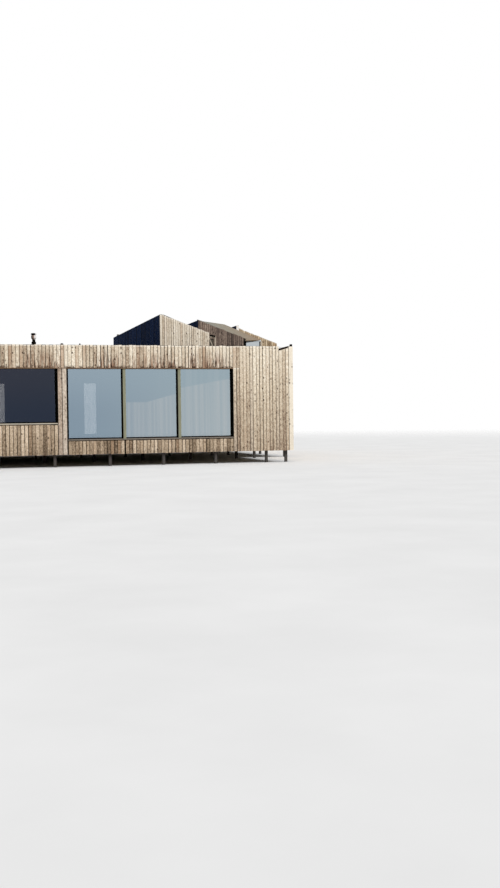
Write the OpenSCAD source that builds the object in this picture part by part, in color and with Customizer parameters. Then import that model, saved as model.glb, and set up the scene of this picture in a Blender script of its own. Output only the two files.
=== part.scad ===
// Single-storey timber beach house on piles, with a window front and three saw-tooth roof monitors.
// Millimetres, +Z up, front towards -Y, origin on the ground under the middle of the outline.

/* [Plan] */
// Length of the boarded wall at each end of the front
end_wall_w = 2150; // [1400:10:3000]
// Width of each wide window opening in the front
wide_opening_w = 5660; // [4500:10:6600]
// Width of the middle window opening in the front
middle_opening_w = 3860; // [3000:10:4600]
// Width of the boarded piers beside the middle window
pier_w = 330; // [240:10:600]
// Depth of the house from front face to back face
house_depth = 12300; // [10500:50:14000]
// Distance of the wing's front face behind the front of the house
wing_front = 4550; // [4200:10:5200]
// Thickness of the outer walls, boards included
wall_t = 400; // [300:10:450]

/* [Levels] */
// Underside of the walls and bearers above the ground
crawl_h = 410; // [300:10:700]
// Height of the floor build-up, bearers included
floor_build_h = 470; // [380:10:600]
// Height of the wide windows' sill above the floor
wide_sill_h = 30; // [10:5:60]
// Height of the middle window's sill above the floor
middle_sill_h = 580; // [400:10:900]
// Height of the front window heads above the floor
head_h = 2410; // [2100:10:2700]
// Clear height of the rooms
ceiling_h = 2520; // [2450:10:2900]
// Thickness of the flat roof
roof_t = 300; // [200:10:340]
// Height of the parapet above the flat roof
parapet_h = 340; // [250:10:450]

/* [Foundation] */
// Side of the square piles
pile_s = 90; // [80:5:200]
// Spacing of the piles along a row
pile_pitch = 1830; // [1500:10:2200]
// Width of the bearers that lie on the pile rows
bearer_w = 120; // [100:5:240]
// Depth of the bearers
bearer_h = 290; // [200:10:360]

/* [Front] */
// Set-back of the skirts and the apron below the windows
skirt_setback = 20; // [0:5:60]
// Length of the parapet beam's seat on each end wall
parapet_seat = 240; // [120:10:480]
// Fall of the parapet's notch at the front wall's right end
notch_drop = 120; // [60:5:250]
// Length of the parapet's notch at the front wall's right end
notch_l = 490; // [300:10:800]
// Thickness of the metal flashing in the notch
flashing_t = 30; // [8:1:40]
// Side of the small lamp on the front wall's right corner
lamp_s = 70; // [40:5:120]

/* [Windows] */
// Distance of the window frames behind the front face and the back face
frame_setback = 105; // [60:5:240]
// Depth of the window frames
frame_d = 80; // [60:5:120]
// Width of the window frame members
frame_w = 40; // [30:5:80]
// Width of the timber fins between the panes
fin_w = 95; // [60:5:140]
// Set-back of the fins from the front face
fin_setback = 15; // [5:5:60]
// Thickness of the glass units
glass_t = 28; // [20:1:40]
// Thickness of the window sills
sill_t = 30; // [20:5:50]
// Width of each tall window in the back wall
back_window_w = 620; // [450:10:900]
// Spacing of the tall windows in the back wall
back_window_pitch = 4000; // [3400:10:4300]
// Distance of the first back window from the house's left end
back_window_first = 2340; // [1200:10:3000]
// Height of the back window heads above the floor
back_head_h = 2340; // [2100:10:2480]

/* [Roof monitors] */
// Thickness of the monitors' walls
monitor_wall_t = 150; // [100:5:200]
// Thickness of the monitors' roof slabs
monitor_roof_t = 120; // [80:5:160]
// Depth of the roof slabs below the tops of the monitors' walls
monitor_recess = 100; // [95:5:150]
// Slope of the monitors' roofs in degrees
monitor_slope = 20; // [14:0.5:24]
// Height of the first two monitors' high edges above the flat roof
monitor_h = 1540; // [1400:10:1900]
// Height of the third monitor's high edge above the flat roof
monitor_3_h = 1400; // [1300:10:1700]
// Width of the first monitor
monitor_1_w = 1755; // [1500:5:2100]
// Width of the second monitor
monitor_2_w = 1755; // [1500:5:2100]
// Width of the third monitor
monitor_3_w = 1650; // [1500:10:2100]
// Distance of the third monitor's side inside the right wall
monitor_3_lap = 230; // [150:10:300]
// Width of the upstand along the third monitor's high edge
upstand_w = 86; // [60:2:120]
// Height of that upstand above the slope of the wall tops
upstand_h = 90; // [40:5:150]
// Distance of the first monitor's front from the house front
monitor_1_front = 1500; // [1000:10:2200]
// Distance of the second monitor's front from the house front
monitor_2_front = 3500; // [2600:10:4000]
// Gap between the first and the second monitor
valley_1 = 80; // [20:5:120]
// Gap between the second and the third monitor
valley_2 = 150; // [150:5:300]

/* [Canopy] */
// Thickness of the canopy plate
canopy_t = 90; // [60:5:90]
// Rise of the canopy towards the back in degrees
canopy_rise = 17.5; // [10:0.1:20]
// Length of the canopy's low edge along the third monitor's front
canopy_reach = 960; // [600:5:1100]
// Distance of the canopy's ridge end from the third monitor's side
canopy_ridge_side = 280; // [200:10:600]
// Distance of the canopy's ridge end behind the third monitor's front
canopy_ridge_back = 850; // [500:10:1100]
// Thickness of the gable wall below the canopy's ridge
canopy_gable_t = 80; // [50:5:120]
// Side of the post at the canopy's low corner
canopy_post_s = 140; // [60:5:140]
// Width of the glazed opening in the third monitor's front
monitor_glass_w = 680; // [400:10:750]
// Height of the glazed opening in the third monitor's front
monitor_glass_h = 500; // [400:10:520]
// Height of that opening's sill above the flat roof
monitor_glass_sill = 380; // [350:10:450]
// Distance of that opening from the third monitor's left side
monitor_glass_left = 340; // [250:10:450]

/* [Roof fittings] */
// Outer diameter of the flue's lower sleeve
flue_d = 160; // [110:5:220]
// Diameter of the flue's neck between sleeve and cap
flue_neck_d = 110; // [80:5:120]
// Outer diameter of the flue's cap
flue_cap_d = 180; // [150:5:260]
// Bore of the flue
flue_bore_d = 70; // [50:5:65]
// Height of the flue's sleeve above the flat roof
flue_sleeve_h = 640; // [400:10:800]
// Height of the flue's neck
flue_neck_h = 100; // [90:5:250]
// Height of the flue's cap
flue_cap_h = 220; // [150:10:320]
// Distance of the flue from the left end of the house
flue_x = 11495; // [8000:5:13000]
// Distance of the flue from the front face
flue_y = 3000; // [1500:10:5000]
// Diameter of the small vent pipes
vent_d = 75; // [50:5:125]
// Height of the vent pipes above the flat roof
vent_h = 610; // [300:10:650]
// Diameter of the rainwater pipe beside the first monitor
drain_d = 45; // [35:5:60]
// Distance of the first vent pipe from the left end of the house
vent_x = 12480; // [12000:5:12600]
// Spacing of the two vent pipes
vent_pitch = 640; // [300:10:900]
// Length of the rain hopper beside the first monitor
hopper_l = 265; // [200:5:350]
// Height of the rain hopper
hopper_h = 110; // [60:5:160]
// Depth of the hopper's rim below the monitor's low corner
hopper_drop = 50; // [20:5:100]

/* [Hidden] */
$fn = 48;
// Overrun of a cut past the faces that it opens
over = 10;

// Levels above the ground
floor_z = crawl_h + floor_build_h;
deck_z = crawl_h + bearer_h;
wide_sill_z = floor_z + wide_sill_h;
middle_sill_z = floor_z + middle_sill_h;
head_z = floor_z + head_h;
back_head_z = floor_z + back_head_h;
ceiling_z = floor_z + ceiling_h;
roof_z = ceiling_z + roof_t;
parapet_z = roof_z + parapet_h;
neck_z = roof_z + flue_sleeve_h;
cap_z = neck_z + flue_neck_h;

// Lengths from the left end of the front
wide_left_x = end_wall_w;
pier_left_x = wide_left_x + wide_opening_w;
middle_x = pier_left_x + pier_w;
pier_right_x = middle_x + middle_opening_w;
wide_right_x = pier_right_x + pier_w;
end_right_x = wide_right_x + wide_opening_w;
main_l = end_right_x + end_wall_w;
inner_right_x = main_l - wall_t;
inner_back_y = house_depth - wall_t;
inner_wing_y = wing_front + wall_t;

// Monitors as [left side, front, width, height of the high edge above the ground]
monitor_3_x = inner_right_x - monitor_3_lap;
monitor_2_x = monitor_3_x - valley_2 - monitor_2_w;
monitor_1_x = monitor_2_x - valley_1 - monitor_1_w;
MONITOR_1 = [monitor_1_x, monitor_1_front, monitor_1_w, roof_z + monitor_h];
MONITOR_2 = [monitor_2_x, monitor_2_front, monitor_2_w, roof_z + monitor_h];
MONITOR_3 = [monitor_3_x, inner_wing_y, monitor_3_w, roof_z + monitor_3_h];
MONITORS = [MONITOR_1, MONITOR_2, MONITOR_3];
fall = tan(monitor_slope);
roof_drop = monitor_recess + monitor_roof_t;
shaft_back_y = inner_back_y - monitor_wall_t;
inner_wing_x = monitor_3_x + monitor_3_w;
total_l = inner_wing_x + wall_t;

// Window openings in the front as [left, width, sill level, number of panes]
FRONT_OPENINGS = [
  [wide_left_x, wide_opening_w, wide_sill_z, 3],
  [middle_x, middle_opening_w, middle_sill_z, 2],
  [wide_right_x, wide_opening_w, wide_sill_z, 3]
];
pane_inset = (frame_d - glass_t) / 2;
glass_y = frame_setback + pane_inset;
back_frame_y = house_depth - frame_setback - frame_d;
back_glass_y = back_frame_y + pane_inset;
back_window_n = floor((total_l - wall_t - back_window_first - back_window_w) / back_window_pitch) + 1;
BACK_WINDOWS = [for (i = [0:back_window_n - 1]) back_window_first + i * back_window_pitch];

// Pile rows under the walls and the two inner bearers
wall_mid = wall_t / 2;
back_mid_y = house_depth - wall_mid;
row_gap = (back_mid_y - wall_mid) / 3;
piles_each_side = floor((main_l / 2 - wall_t - pile_s) / pile_pitch);
PILES_X = concat([wall_mid],
  [for (i = [-piles_each_side:piles_each_side]) main_l / 2 + i * pile_pitch],
  [main_l - wall_mid]);
wing_pile_x = total_l - wall_mid;

// Canopy from the second monitor's front to the third monitor, as a sloping plane
canopy_x = monitor_2_x + monitor_wall_t;
canopy_y = monitor_2_front + monitor_wall_t;
monitor_2_right = monitor_2_x + monitor_2_w;
CANOPY_START = [canopy_x, canopy_y];
CANOPY_TOP = plane_through(canopy_x, canopy_y, top_z(MONITOR_2, canopy_x), -fall, tan(canopy_rise));
CANOPY_UNDER = lowered(CANOPY_TOP, canopy_t);
RIDGE_END = [monitor_3_x - canopy_ridge_side, inner_wing_y + canopy_ridge_back];
CANOPY_PLAN = [
  CANOPY_START,
  [monitor_2_right + canopy_post_s, canopy_y],
  [monitor_3_x + canopy_reach, inner_wing_y],
  [monitor_3_x, inner_wing_y],
  RIDGE_END
];
// Distance along the ridge at which its gable wall starts
gable_start = 300;
RIDGE_RUN = RIDGE_END - CANOPY_START;
RIDGE_DIR = RIDGE_RUN / norm(RIDGE_RUN);
GABLE_SIDE = [RIDGE_DIR[1], -RIDGE_DIR[0]] * canopy_gable_t;

// Height of a monitor's wall tops above the ground at x
function top_z(m, x) = m[3] - fall * (x - m[0]);
// A plane is [slope along x, slope along y, level at the origin]
function plane_through(x, y, z, sx, sy) = [sx, sy, z - sx * x - sy * y];
function lowered(pl, d) = [pl[0], pl[1], pl[2] - d];
function plane_z(pl, p) = pl[0] * p[0] + pl[1] * p[1] + pl[2];
// Plane of a monitor's roof, d below its wall tops
function roof_plane(m, d) = plane_through(m[0], 0, m[3] - d, -fall, 0);

// Box from its lowest corner to its highest corner
module block(lo, hi) {
  translate(lo) cube(hi - lo);
}

// Outline in the x-z plane, from the depth y0 to the depth y1
module upright(points, y0, y1) {
  translate([0, y1, 0]) rotate([90, 0, 0]) linear_extrude(y1 - y0) polygon(points);
}

// Everything below a sloping plane, within a block that is large enough to cut any piece at p
module below(pl, p) {
  turn_y = -atan(pl[0]);
  turn_x = atan(pl[1] * cos(turn_y));
  translate([p[0], p[1], plane_z(pl, p)]) rotate([turn_x, turn_y, 0])
    translate([-house_depth, -house_depth, -house_depth]) cube([2 * house_depth, 2 * house_depth, house_depth]);
}

// Solid over a plan outline, between two sloping planes
module between(plan, under, above) {
  difference() {
    intersection() {
      linear_extrude(house_depth) polygon(plan);
      below(above, plan[0]);
    }
    below(under, plan[0]);
  }
}

// Moves the house so that the middle of its outline is over the origin
module in_place() {
  translate([-total_l / 2, -house_depth / 2, 0]) children();
}

module pile(x, y) {
  translate([x - pile_s / 2, y - pile_s / 2, 0]) cube([pile_s, pile_s, crawl_h]);
}

module piles_outer() color("#4e4c4b") in_place() {
  for (x = PILES_X, y = [wall_mid, back_mid_y]) pile(x, y);
  pile(wing_pile_x, back_mid_y);
}

module piles_inner() color("#4e4c4b") in_place() {
  for (x = PILES_X, i = [1, 2]) pile(x, wall_mid + i * row_gap);
  pile(wing_pile_x, wing_front + wall_mid);
  pile(wing_pile_x, wall_mid + 2 * row_gap);
}

// Bearers over the inner pile rows, and ledgers along the front and back walls
module floor_bearers() color("#6b5f50") in_place() {
  half = bearer_w / 2;
  for (y = [wall_t + half, wall_mid + row_gap])
    block([wall_t, y - half, crawl_h], [inner_right_x, y + half, deck_z]);
  for (y = [wall_mid + 2 * row_gap, inner_back_y - half])
    block([wall_t, y - half, crawl_h], [inner_wing_x, y + half, deck_z]);
}

module floor_deck() color("#b9a98c") in_place()
  block([wall_t, wall_t, deck_z], [inner_right_x, inner_back_y, floor_z]);

module wing_floor() color("#b9a98c") in_place()
  block([inner_right_x, inner_wing_y, deck_z], [inner_wing_x, inner_back_y, floor_z]);

// Boarded end wall, stepped where the parapet beam takes its seat
module front_wall_left() color("#bfae94") in_place()
  upright([
    [0, crawl_h], [end_wall_w, crawl_h], [end_wall_w, head_z],
    [end_wall_w - parapet_seat, head_z], [end_wall_w - parapet_seat, parapet_z], [0, parapet_z]
  ], 0, wall_t);

// The same wall at the right end, with a shallow notch that climbs to the corner
module front_wall_right() color("#c2b29d") in_place()
  upright([
    [end_right_x, crawl_h], [main_l, crawl_h], [main_l, parapet_z], [main_l - lamp_s, parapet_z],
    [main_l - notch_l, parapet_z - notch_drop], [main_l - notch_l, parapet_z],
    [end_right_x + parapet_seat, parapet_z], [end_right_x + parapet_seat, head_z], [end_right_x, head_z]
  ], 0, wall_t);

module end_flashing() color("#2b2925") in_place()
  upright([
    [main_l - notch_l, parapet_z - notch_drop], [main_l - lamp_s, parapet_z],
    [main_l - lamp_s, parapet_z + flashing_t], [main_l - notch_l, parapet_z - notch_drop + flashing_t]
  ], 0, wall_t);

module corner_lamp() color("#1c1c1c") in_place()
  block([main_l - lamp_s, 0, parapet_z], [main_l, lamp_s, parapet_z + lamp_s]);

module front_piers() color("#b5a796") in_place()
  for (x = [pier_left_x, pier_right_x])
    block([x, 0, crawl_h], [x + pier_w, wall_t, head_z]);

// Beam over the windows, which is the parapet as well
module front_parapet() color("#bba992") in_place()
  block([end_wall_w - parapet_seat, 0, head_z], [end_right_x + parapet_seat, wall_t, parapet_z]);

module front_skirts() color("#93806a") in_place()
  for (x = [wide_left_x, wide_right_x])
    block([x, skirt_setback, crawl_h], [x + wide_opening_w, wall_t, wide_sill_z - sill_t]);

module middle_apron() color("#9d8b74") in_place()
  block([middle_x, skirt_setback, crawl_h], [pier_right_x, wall_t, middle_sill_z - sill_t]);

module left_wall() color("#b3a289") in_place()
  block([0, wall_t, crawl_h], [wall_t, inner_back_y, parapet_z]);

module right_wall() color("#b3a289") in_place()
  block([inner_right_x, wall_t, crawl_h], [main_l, wing_front, parapet_z]);

module wing_front_wall() color("#b3a289") in_place()
  block([inner_right_x, wing_front, crawl_h], [total_l, inner_wing_y, parapet_z]);

module wing_side_wall() color("#b3a289") in_place()
  block([inner_wing_x, inner_wing_y, crawl_h], [total_l, inner_back_y, parapet_z]);

// Wall panels between the tall windows of the back
module back_wall_panels() color("#b3a289") in_place()
  for (i = [0:back_window_n]) {
    x0 = i == 0 ? 0 : BACK_WINDOWS[i - 1] + back_window_w;
    x1 = i == back_window_n ? total_l : BACK_WINDOWS[i];
    block([x0, inner_back_y, crawl_h], [x1, house_depth, back_head_z]);
  }

module back_parapet() color("#b3a289") in_place()
  block([0, inner_back_y, back_head_z], [total_l, house_depth, parapet_z]);

module back_skirts() color("#9d8b74") in_place()
  for (x = BACK_WINDOWS)
    block([x, inner_back_y, crawl_h], [x + back_window_w, house_depth - skirt_setback, floor_z]);

module front_sills() color("#cfc8ba") in_place()
  for (o = FRONT_OPENINGS)
    block([o[0], 0, o[2] - sill_t], [o[0] + o[1], wall_t, o[2]]);

// Left and right edge of pane k in an opening, inside the frame members
function pane_left(o, k) = o[0] + k * o[1] / o[3] + frame_w;
function pane_right(o, k) = o[0] + (k + 1) * o[1] / o[3] - frame_w;

module pane(o, k, y0, y1)
  block([pane_left(o, k), y0, o[2] + frame_w], [pane_right(o, k), y1, head_z - frame_w]);

module front_window_frames() color("#20201c") in_place()
  for (o = FRONT_OPENINGS)
    difference() {
      block([o[0], frame_setback, o[2]], [o[0] + o[1], frame_setback + frame_d, head_z]);
      for (k = [0:o[3] - 1]) pane(o, k, frame_setback - over, frame_setback + frame_d + over);
    }

module front_glass() color("#8c9daa", 0.6) in_place()
  for (o = FRONT_OPENINGS, k = [0:o[3] - 1])
    pane(o, k, glass_y, glass_y + glass_t);

// Upright timber fins that stand in front of the frames
module front_fins() color("#85886a") in_place()
  for (o = FRONT_OPENINGS, k = [1:o[3] - 1]) {
    x = o[0] + k * o[1] / o[3];
    block([x - fin_w / 2, fin_setback, o[2]], [x + fin_w / 2, frame_setback, head_z]);
  }

module back_pane(x, y0, y1)
  block([x + frame_w, y0, floor_z + frame_w], [x + back_window_w - frame_w, y1, back_head_z - frame_w]);

module back_window_frames() color("#20201c") in_place()
  for (x = BACK_WINDOWS)
    difference() {
      block([x, back_frame_y, floor_z], [x + back_window_w, back_frame_y + frame_d, back_head_z]);
      back_pane(x, back_frame_y - over, back_frame_y + frame_d + over);
    }

module back_glass() color("#a5b7b5", 0.6) in_place()
  for (x = BACK_WINDOWS)
    back_pane(x, back_glass_y, back_glass_y + glass_t);

module roof_deck_left() color("#6f6c66") in_place()
  block([wall_t, wall_t, ceiling_z], [monitor_1_x + monitor_wall_t, inner_back_y, roof_z]);

// Roof deck over the right part, open under the three monitors
module roof_deck_right() color("#6f6c66") in_place()
  difference() {
    union() {
      block([monitor_1_x + monitor_wall_t, wall_t, ceiling_z], [inner_right_x, inner_back_y, roof_z]);
      block([inner_right_x, inner_wing_y, ceiling_z], [inner_wing_x, inner_back_y, roof_z]);
    }
    for (m = MONITORS) shaft(m);
  }

// Light shaft from the room into a monitor
module shaft(m) {
  reach = m == MONITOR_1 ? over : 0;
  block([m[0] + monitor_wall_t - reach, m[1] + monitor_wall_t, ceiling_z - over],
    [m[0] + m[2] - monitor_wall_t, shaft_back_y, roof_z + over]);
}

// Slice of a monitor between x0 and x1, from the flat roof to d below the line of its wall tops
module slice(m, x0, x1, y0, y1, d)
  upright([[x0, roof_z], [x1, roof_z], [x1, top_z(m, x1) - d], [x0, top_z(m, x0) - d]], y0, y1);

// The same up to the wall tops, with the upstand along the high edge
module stepped_slice(m, x1, y0, y1) {
  step_x = m[0] + upstand_w;
  upright([
    [m[0], roof_z], [x1, roof_z], [x1, top_z(m, x1)],
    [step_x, top_z(m, step_x)], [step_x, m[3] + upstand_h], [m[0], m[3] + upstand_h]
  ], y0, y1);
}

module monitor_front(m) slice(m, m[0], m[0] + m[2], m[1], m[1] + monitor_wall_t, 0);

module monitor_side(m) slice(m, m[0], m[0] + monitor_wall_t, m[1] + monitor_wall_t, shaft_back_y, 0);

module monitor_roof(m) {
  x0 = m[0] + monitor_wall_t;
  x1 = m[0] + m[2];
  upright([
    [x0, top_z(m, x0) - roof_drop], [x1, top_z(m, x1) - roof_drop],
    [x1, top_z(m, x1) - monitor_recess], [x0, top_z(m, x0) - monitor_recess]
  ], m[1] + monitor_wall_t, shaft_back_y);
}

module monitor_1_front() color("#c3b49f") in_place() monitor_front(MONITOR_1);
module monitor_1_side() color("#151b29") in_place() monitor_side(MONITOR_1);
module monitor_1_roof() color("#a29d8c") in_place() monitor_roof(MONITOR_1);
module monitor_2_front() color("#746a62") in_place() monitor_front(MONITOR_2);
module monitor_2_side() color("#151b29") in_place() monitor_side(MONITOR_2);
module monitor_2_roof() color("#a29d8c") in_place() monitor_roof(MONITOR_2);

// Glazed opening in the third monitor's front, from the depth y0 to the depth y1
module monitor_opening(y0, y1) {
  x = monitor_3_x + monitor_glass_left;
  z = roof_z + monitor_glass_sill;
  block([x, y0, z], [x + monitor_glass_w, y1, z + monitor_glass_h]);
}

module monitor_3_front() color("#b5a084") in_place()
  difference() {
    stepped_slice(MONITOR_3, inner_wing_x, inner_wing_y, inner_wing_y + monitor_wall_t);
    monitor_opening(inner_wing_y - over, inner_wing_y + monitor_wall_t + over);
  }

module monitor_3_glass() color("#b3b8b5", 0.6) in_place() {
  y = inner_wing_y + (monitor_wall_t - glass_t) / 2;
  monitor_opening(y, y + glass_t);
}

module monitor_3_side() color("#151b29") in_place()
  stepped_slice(MONITOR_3, monitor_3_x + monitor_wall_t, inner_wing_y + monitor_wall_t, shaft_back_y);
module monitor_3_roof() color("#a29d8c") in_place() monitor_roof(MONITOR_3);

module monitor_low_walls() color("#746a62") in_place()
  for (m = MONITORS)
    slice(m, m[0] + m[2] - monitor_wall_t, m[0] + m[2], m[1] + monitor_wall_t, shaft_back_y, roof_drop);

module monitor_back_walls() color("#b3a289") in_place()
  for (m = MONITORS) slice(m, m[0], m[0] + m[2], shaft_back_y, inner_back_y, 0);

module canopy_roof() color("#a29d8c") in_place() between(CANOPY_PLAN, CANOPY_UNDER, CANOPY_TOP);

// Low wall along the canopy's ridge, on the second monitor's roof
module canopy_gable() color("#746a62") in_place() {
  near = CANOPY_START + RIDGE_DIR * gable_start;
  between([near + GABLE_SIDE, RIDGE_END + GABLE_SIDE, RIDGE_END, near],
    roof_plane(MONITOR_2, monitor_recess), CANOPY_UNDER);
}

module canopy_post() color("#100f0d") in_place() {
  x = monitor_2_right;
  s = canopy_post_s;
  between([[x, canopy_y], [x + s, canopy_y], [x + s, canopy_y + s], [x, canopy_y + s]],
    [0, 0, roof_z], CANOPY_UNDER);
}

// Hopper at the first monitor's low corner, with its pipe down to the flat roof
module rainwater_pipe() color("#8a857a") in_place() {
  x = monitor_1_x + monitor_1_w;
  top = top_z(MONITOR_1, x) - hopper_drop;
  block([x, monitor_1_front, top - hopper_h], [x + hopper_l, monitor_1_front + monitor_wall_t, top]);
  translate([x + hopper_l - drain_d / 2, monitor_1_front + monitor_wall_t / 2, roof_z])
    cylinder(d = drain_d, h = top - hopper_h / 2 - roof_z);
}

module flue_pipe() color("#5a5955") in_place() translate([flue_x, flue_y, 0])
  difference() {
    union() {
      translate([0, 0, roof_z]) cylinder(d = flue_d, h = flue_sleeve_h);
      translate([0, 0, neck_z - over]) cylinder(d = flue_neck_d, h = flue_neck_h + over);
    }
    translate([0, 0, roof_z - over]) cylinder(d = flue_bore_d, h = flue_sleeve_h + flue_neck_h + 2 * over);
  }

// Open-ended cap on the flue's neck
module flue_cap() color("#d8d4cf") in_place() translate([flue_x, flue_y, cap_z])
  difference() {
    cylinder(d = flue_cap_d, h = flue_cap_h);
    translate([0, 0, -over]) cylinder(d = flue_bore_d, h = flue_cap_h + 2 * over);
  }

module roof_vents() color("#3a3a38") in_place()
  for (i = [0, 1])
    translate([vent_x + i * vent_pitch, flue_y, roof_z]) cylinder(d = vent_d, h = vent_h);

piles_outer();
piles_inner();
floor_bearers();
floor_deck();
wing_floor();
front_wall_left();
front_wall_right();
front_piers();
front_parapet();
front_skirts();
middle_apron();
left_wall();
right_wall();
wing_front_wall();
wing_side_wall();
back_wall_panels();
back_parapet();
back_skirts();
front_sills();
front_window_frames();
front_fins();
front_glass();
back_window_frames();
back_glass();
roof_deck_left();
roof_deck_right();
monitor_1_front();
monitor_1_side();
monitor_1_roof();
monitor_2_front();
monitor_2_side();
monitor_2_roof();
monitor_3_front();
monitor_3_side();
monitor_3_roof();
monitor_3_glass();
monitor_low_walls();
monitor_back_walls();
canopy_roof();
canopy_gable();
canopy_post();
rainwater_pipe();
flue_pipe();
flue_cap();
roof_vents();
end_flashing();
corner_lamp();
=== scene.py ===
# Looks of a timber beach house: boards, glass, felt, metal fittings, light and camera around its frame
import math

import bmesh
import bpy
from mathutils import Matrix, Vector


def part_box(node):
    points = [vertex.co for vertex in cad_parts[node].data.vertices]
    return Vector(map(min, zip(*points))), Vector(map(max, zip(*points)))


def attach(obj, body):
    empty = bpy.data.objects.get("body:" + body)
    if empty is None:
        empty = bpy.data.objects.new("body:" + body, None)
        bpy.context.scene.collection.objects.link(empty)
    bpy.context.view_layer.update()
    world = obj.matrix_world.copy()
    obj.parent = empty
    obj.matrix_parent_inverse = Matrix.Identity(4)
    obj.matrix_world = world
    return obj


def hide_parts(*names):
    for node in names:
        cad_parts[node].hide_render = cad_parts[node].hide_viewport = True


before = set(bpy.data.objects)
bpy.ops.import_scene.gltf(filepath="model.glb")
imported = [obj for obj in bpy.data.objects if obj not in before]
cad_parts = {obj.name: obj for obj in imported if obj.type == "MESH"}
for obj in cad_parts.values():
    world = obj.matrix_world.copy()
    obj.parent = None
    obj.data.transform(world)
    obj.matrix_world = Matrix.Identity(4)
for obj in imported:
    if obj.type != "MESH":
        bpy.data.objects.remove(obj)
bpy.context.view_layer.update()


# Colours are noted as they look on a screen, 0 to 255, and turned into linear light here
def paint(*colour):
    def linear(value):
        share = value / 255
        return share / 12.92 if share <= 0.04045 else ((share + 0.055) / 1.055) ** 2.4
    return (*(linear(value) for value in colour), 1.0)


# Stops of a colour ramp, each written as its place and its colour
def shades(*stops):
    return [(at, paint(*colour)) for at, *colour in stops]


def pick(sockets, key):
    if isinstance(key, int):
        return sockets[key]
    return next(socket for socket in sockets if socket.name == key and socket.enabled)


def feed(node, values):
    for key, value in values.items():
        socket = pick(node.inputs, key)
        if isinstance(value, Wire):
            value.tree.links.new(value.socket, socket)
        else:
            socket.default_value = value


# A socket that can stand in a sum, and that adds the node for it
class Wire:
    def __init__(self, tree, socket=None):
        self.tree, self.socket = tree, socket

    def node(self, kind, settings=None, values=None, out=0):
        made = self.tree.nodes.new(kind)
        for name, setting in (settings or {}).items():
            if name == "stops":
                ramp = made.color_ramp.elements
                ramp.remove(ramp[1])
                ramp[0].position, ramp[0].color = setting[0]
                for at, colour in setting[1:]:
                    ramp.new(at).color = colour
            else:
                setattr(made, name, setting)
        feed(made, values or {})
        return Wire(self.tree, pick(made.outputs, out))

    def calc(self, operation, *more):
        return self.node("ShaderNodeMath", {"operation": operation}, dict(enumerate((self, *more))))

    def __add__(self, other):
        return self.calc("ADD", other)

    def __sub__(self, other):
        return self.calc("SUBTRACT", other)

    def __rsub__(self, other):
        return self.node("ShaderNodeMath", {"operation": "SUBTRACT"}, {0: other, 1: self})

    def __mul__(self, other):
        return self.calc("MULTIPLY", other)

    def __truediv__(self, other):
        return self.calc("DIVIDE", other)

    def __gt__(self, other):
        return self.calc("GREATER_THAN", other)

    def __lt__(self, other):
        return self.calc("LESS_THAN", other)

    __radd__, __rmul__ = __add__, __mul__

    # 0 at low, 1 at high, smooth in between
    def rise(self, low, high):
        return self.node("ShaderNodeMapRange", {"interpolation_type": "SMOOTHSTEP"},
                         {"Value": self, "From Min": low, "From Max": high})

    def part(self, axis):
        return self.node("ShaderNodeSeparateXYZ", None, {0: self}, axis)

    def parts(self):
        return [self.part(axis) for axis in "XYZ"]

    def stretched(self, scales):
        return self.node("ShaderNodeVectorMath", {"operation": "MULTIPLY"}, {0: self, 1: scales})

    def mixed(self, factor, other, way="MIX"):
        return self.node("ShaderNodeMix", {"data_type": "RGBA", "blend_type": way},
                         {"Factor": factor, "A": self, "B": other}, "Result")

    def ramp(self, stops):
        return self.node("ShaderNodeValToRGB", {"stops": stops}, {0: self}, "Color")


def vectorOf(*terms):
    wire = next(term for term in terms if isinstance(term, Wire))
    return wire.node("ShaderNodeCombineXYZ", None, dict(enumerate(terms)))


def linked(name, data):
    made = bpy.data.objects.new(name, data)
    bpy.context.scene.collection.objects.link(made)
    return made


# Materials

def newMaterial(name):
    material = bpy.data.materials.new(name)
    material.use_nodes = True
    wire = Wire(material.node_tree)
    return material, wire, wire.node("ShaderNodeTexCoord", out="Object")


def finishMaterial(material, colour, roughness, normal, specular=0.5, **more):
    feed(material.node_tree.nodes["Principled BSDF"], {
        "Base Color": colour, "Roughness": roughness, "Normal": normal,
        "Specular IOR Level": specular, **more})
    return material


# Clouds of one scale, or of a scale for each axis
def noise(place, scale, detail=3, roughness=0.55, shift=None):
    if isinstance(scale, tuple):
        place, scale = place.stretched(scale), 1.0
    values = {"Vector": place, "Scale": scale, "Detail": detail, "Roughness": roughness}
    if shift is not None:
        values["W"] = shift
    settings = {"noise_dimensions": "3D" if shift is None else "4D"}
    return place.node("ShaderNodeTexNoise", settings, values, "Fac")


def bump(height, strength, distance):
    values = {"Height": height, "Strength": strength, "Distance": distance}
    return height.node("ShaderNodeBump", None, values, "Normal")


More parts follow.
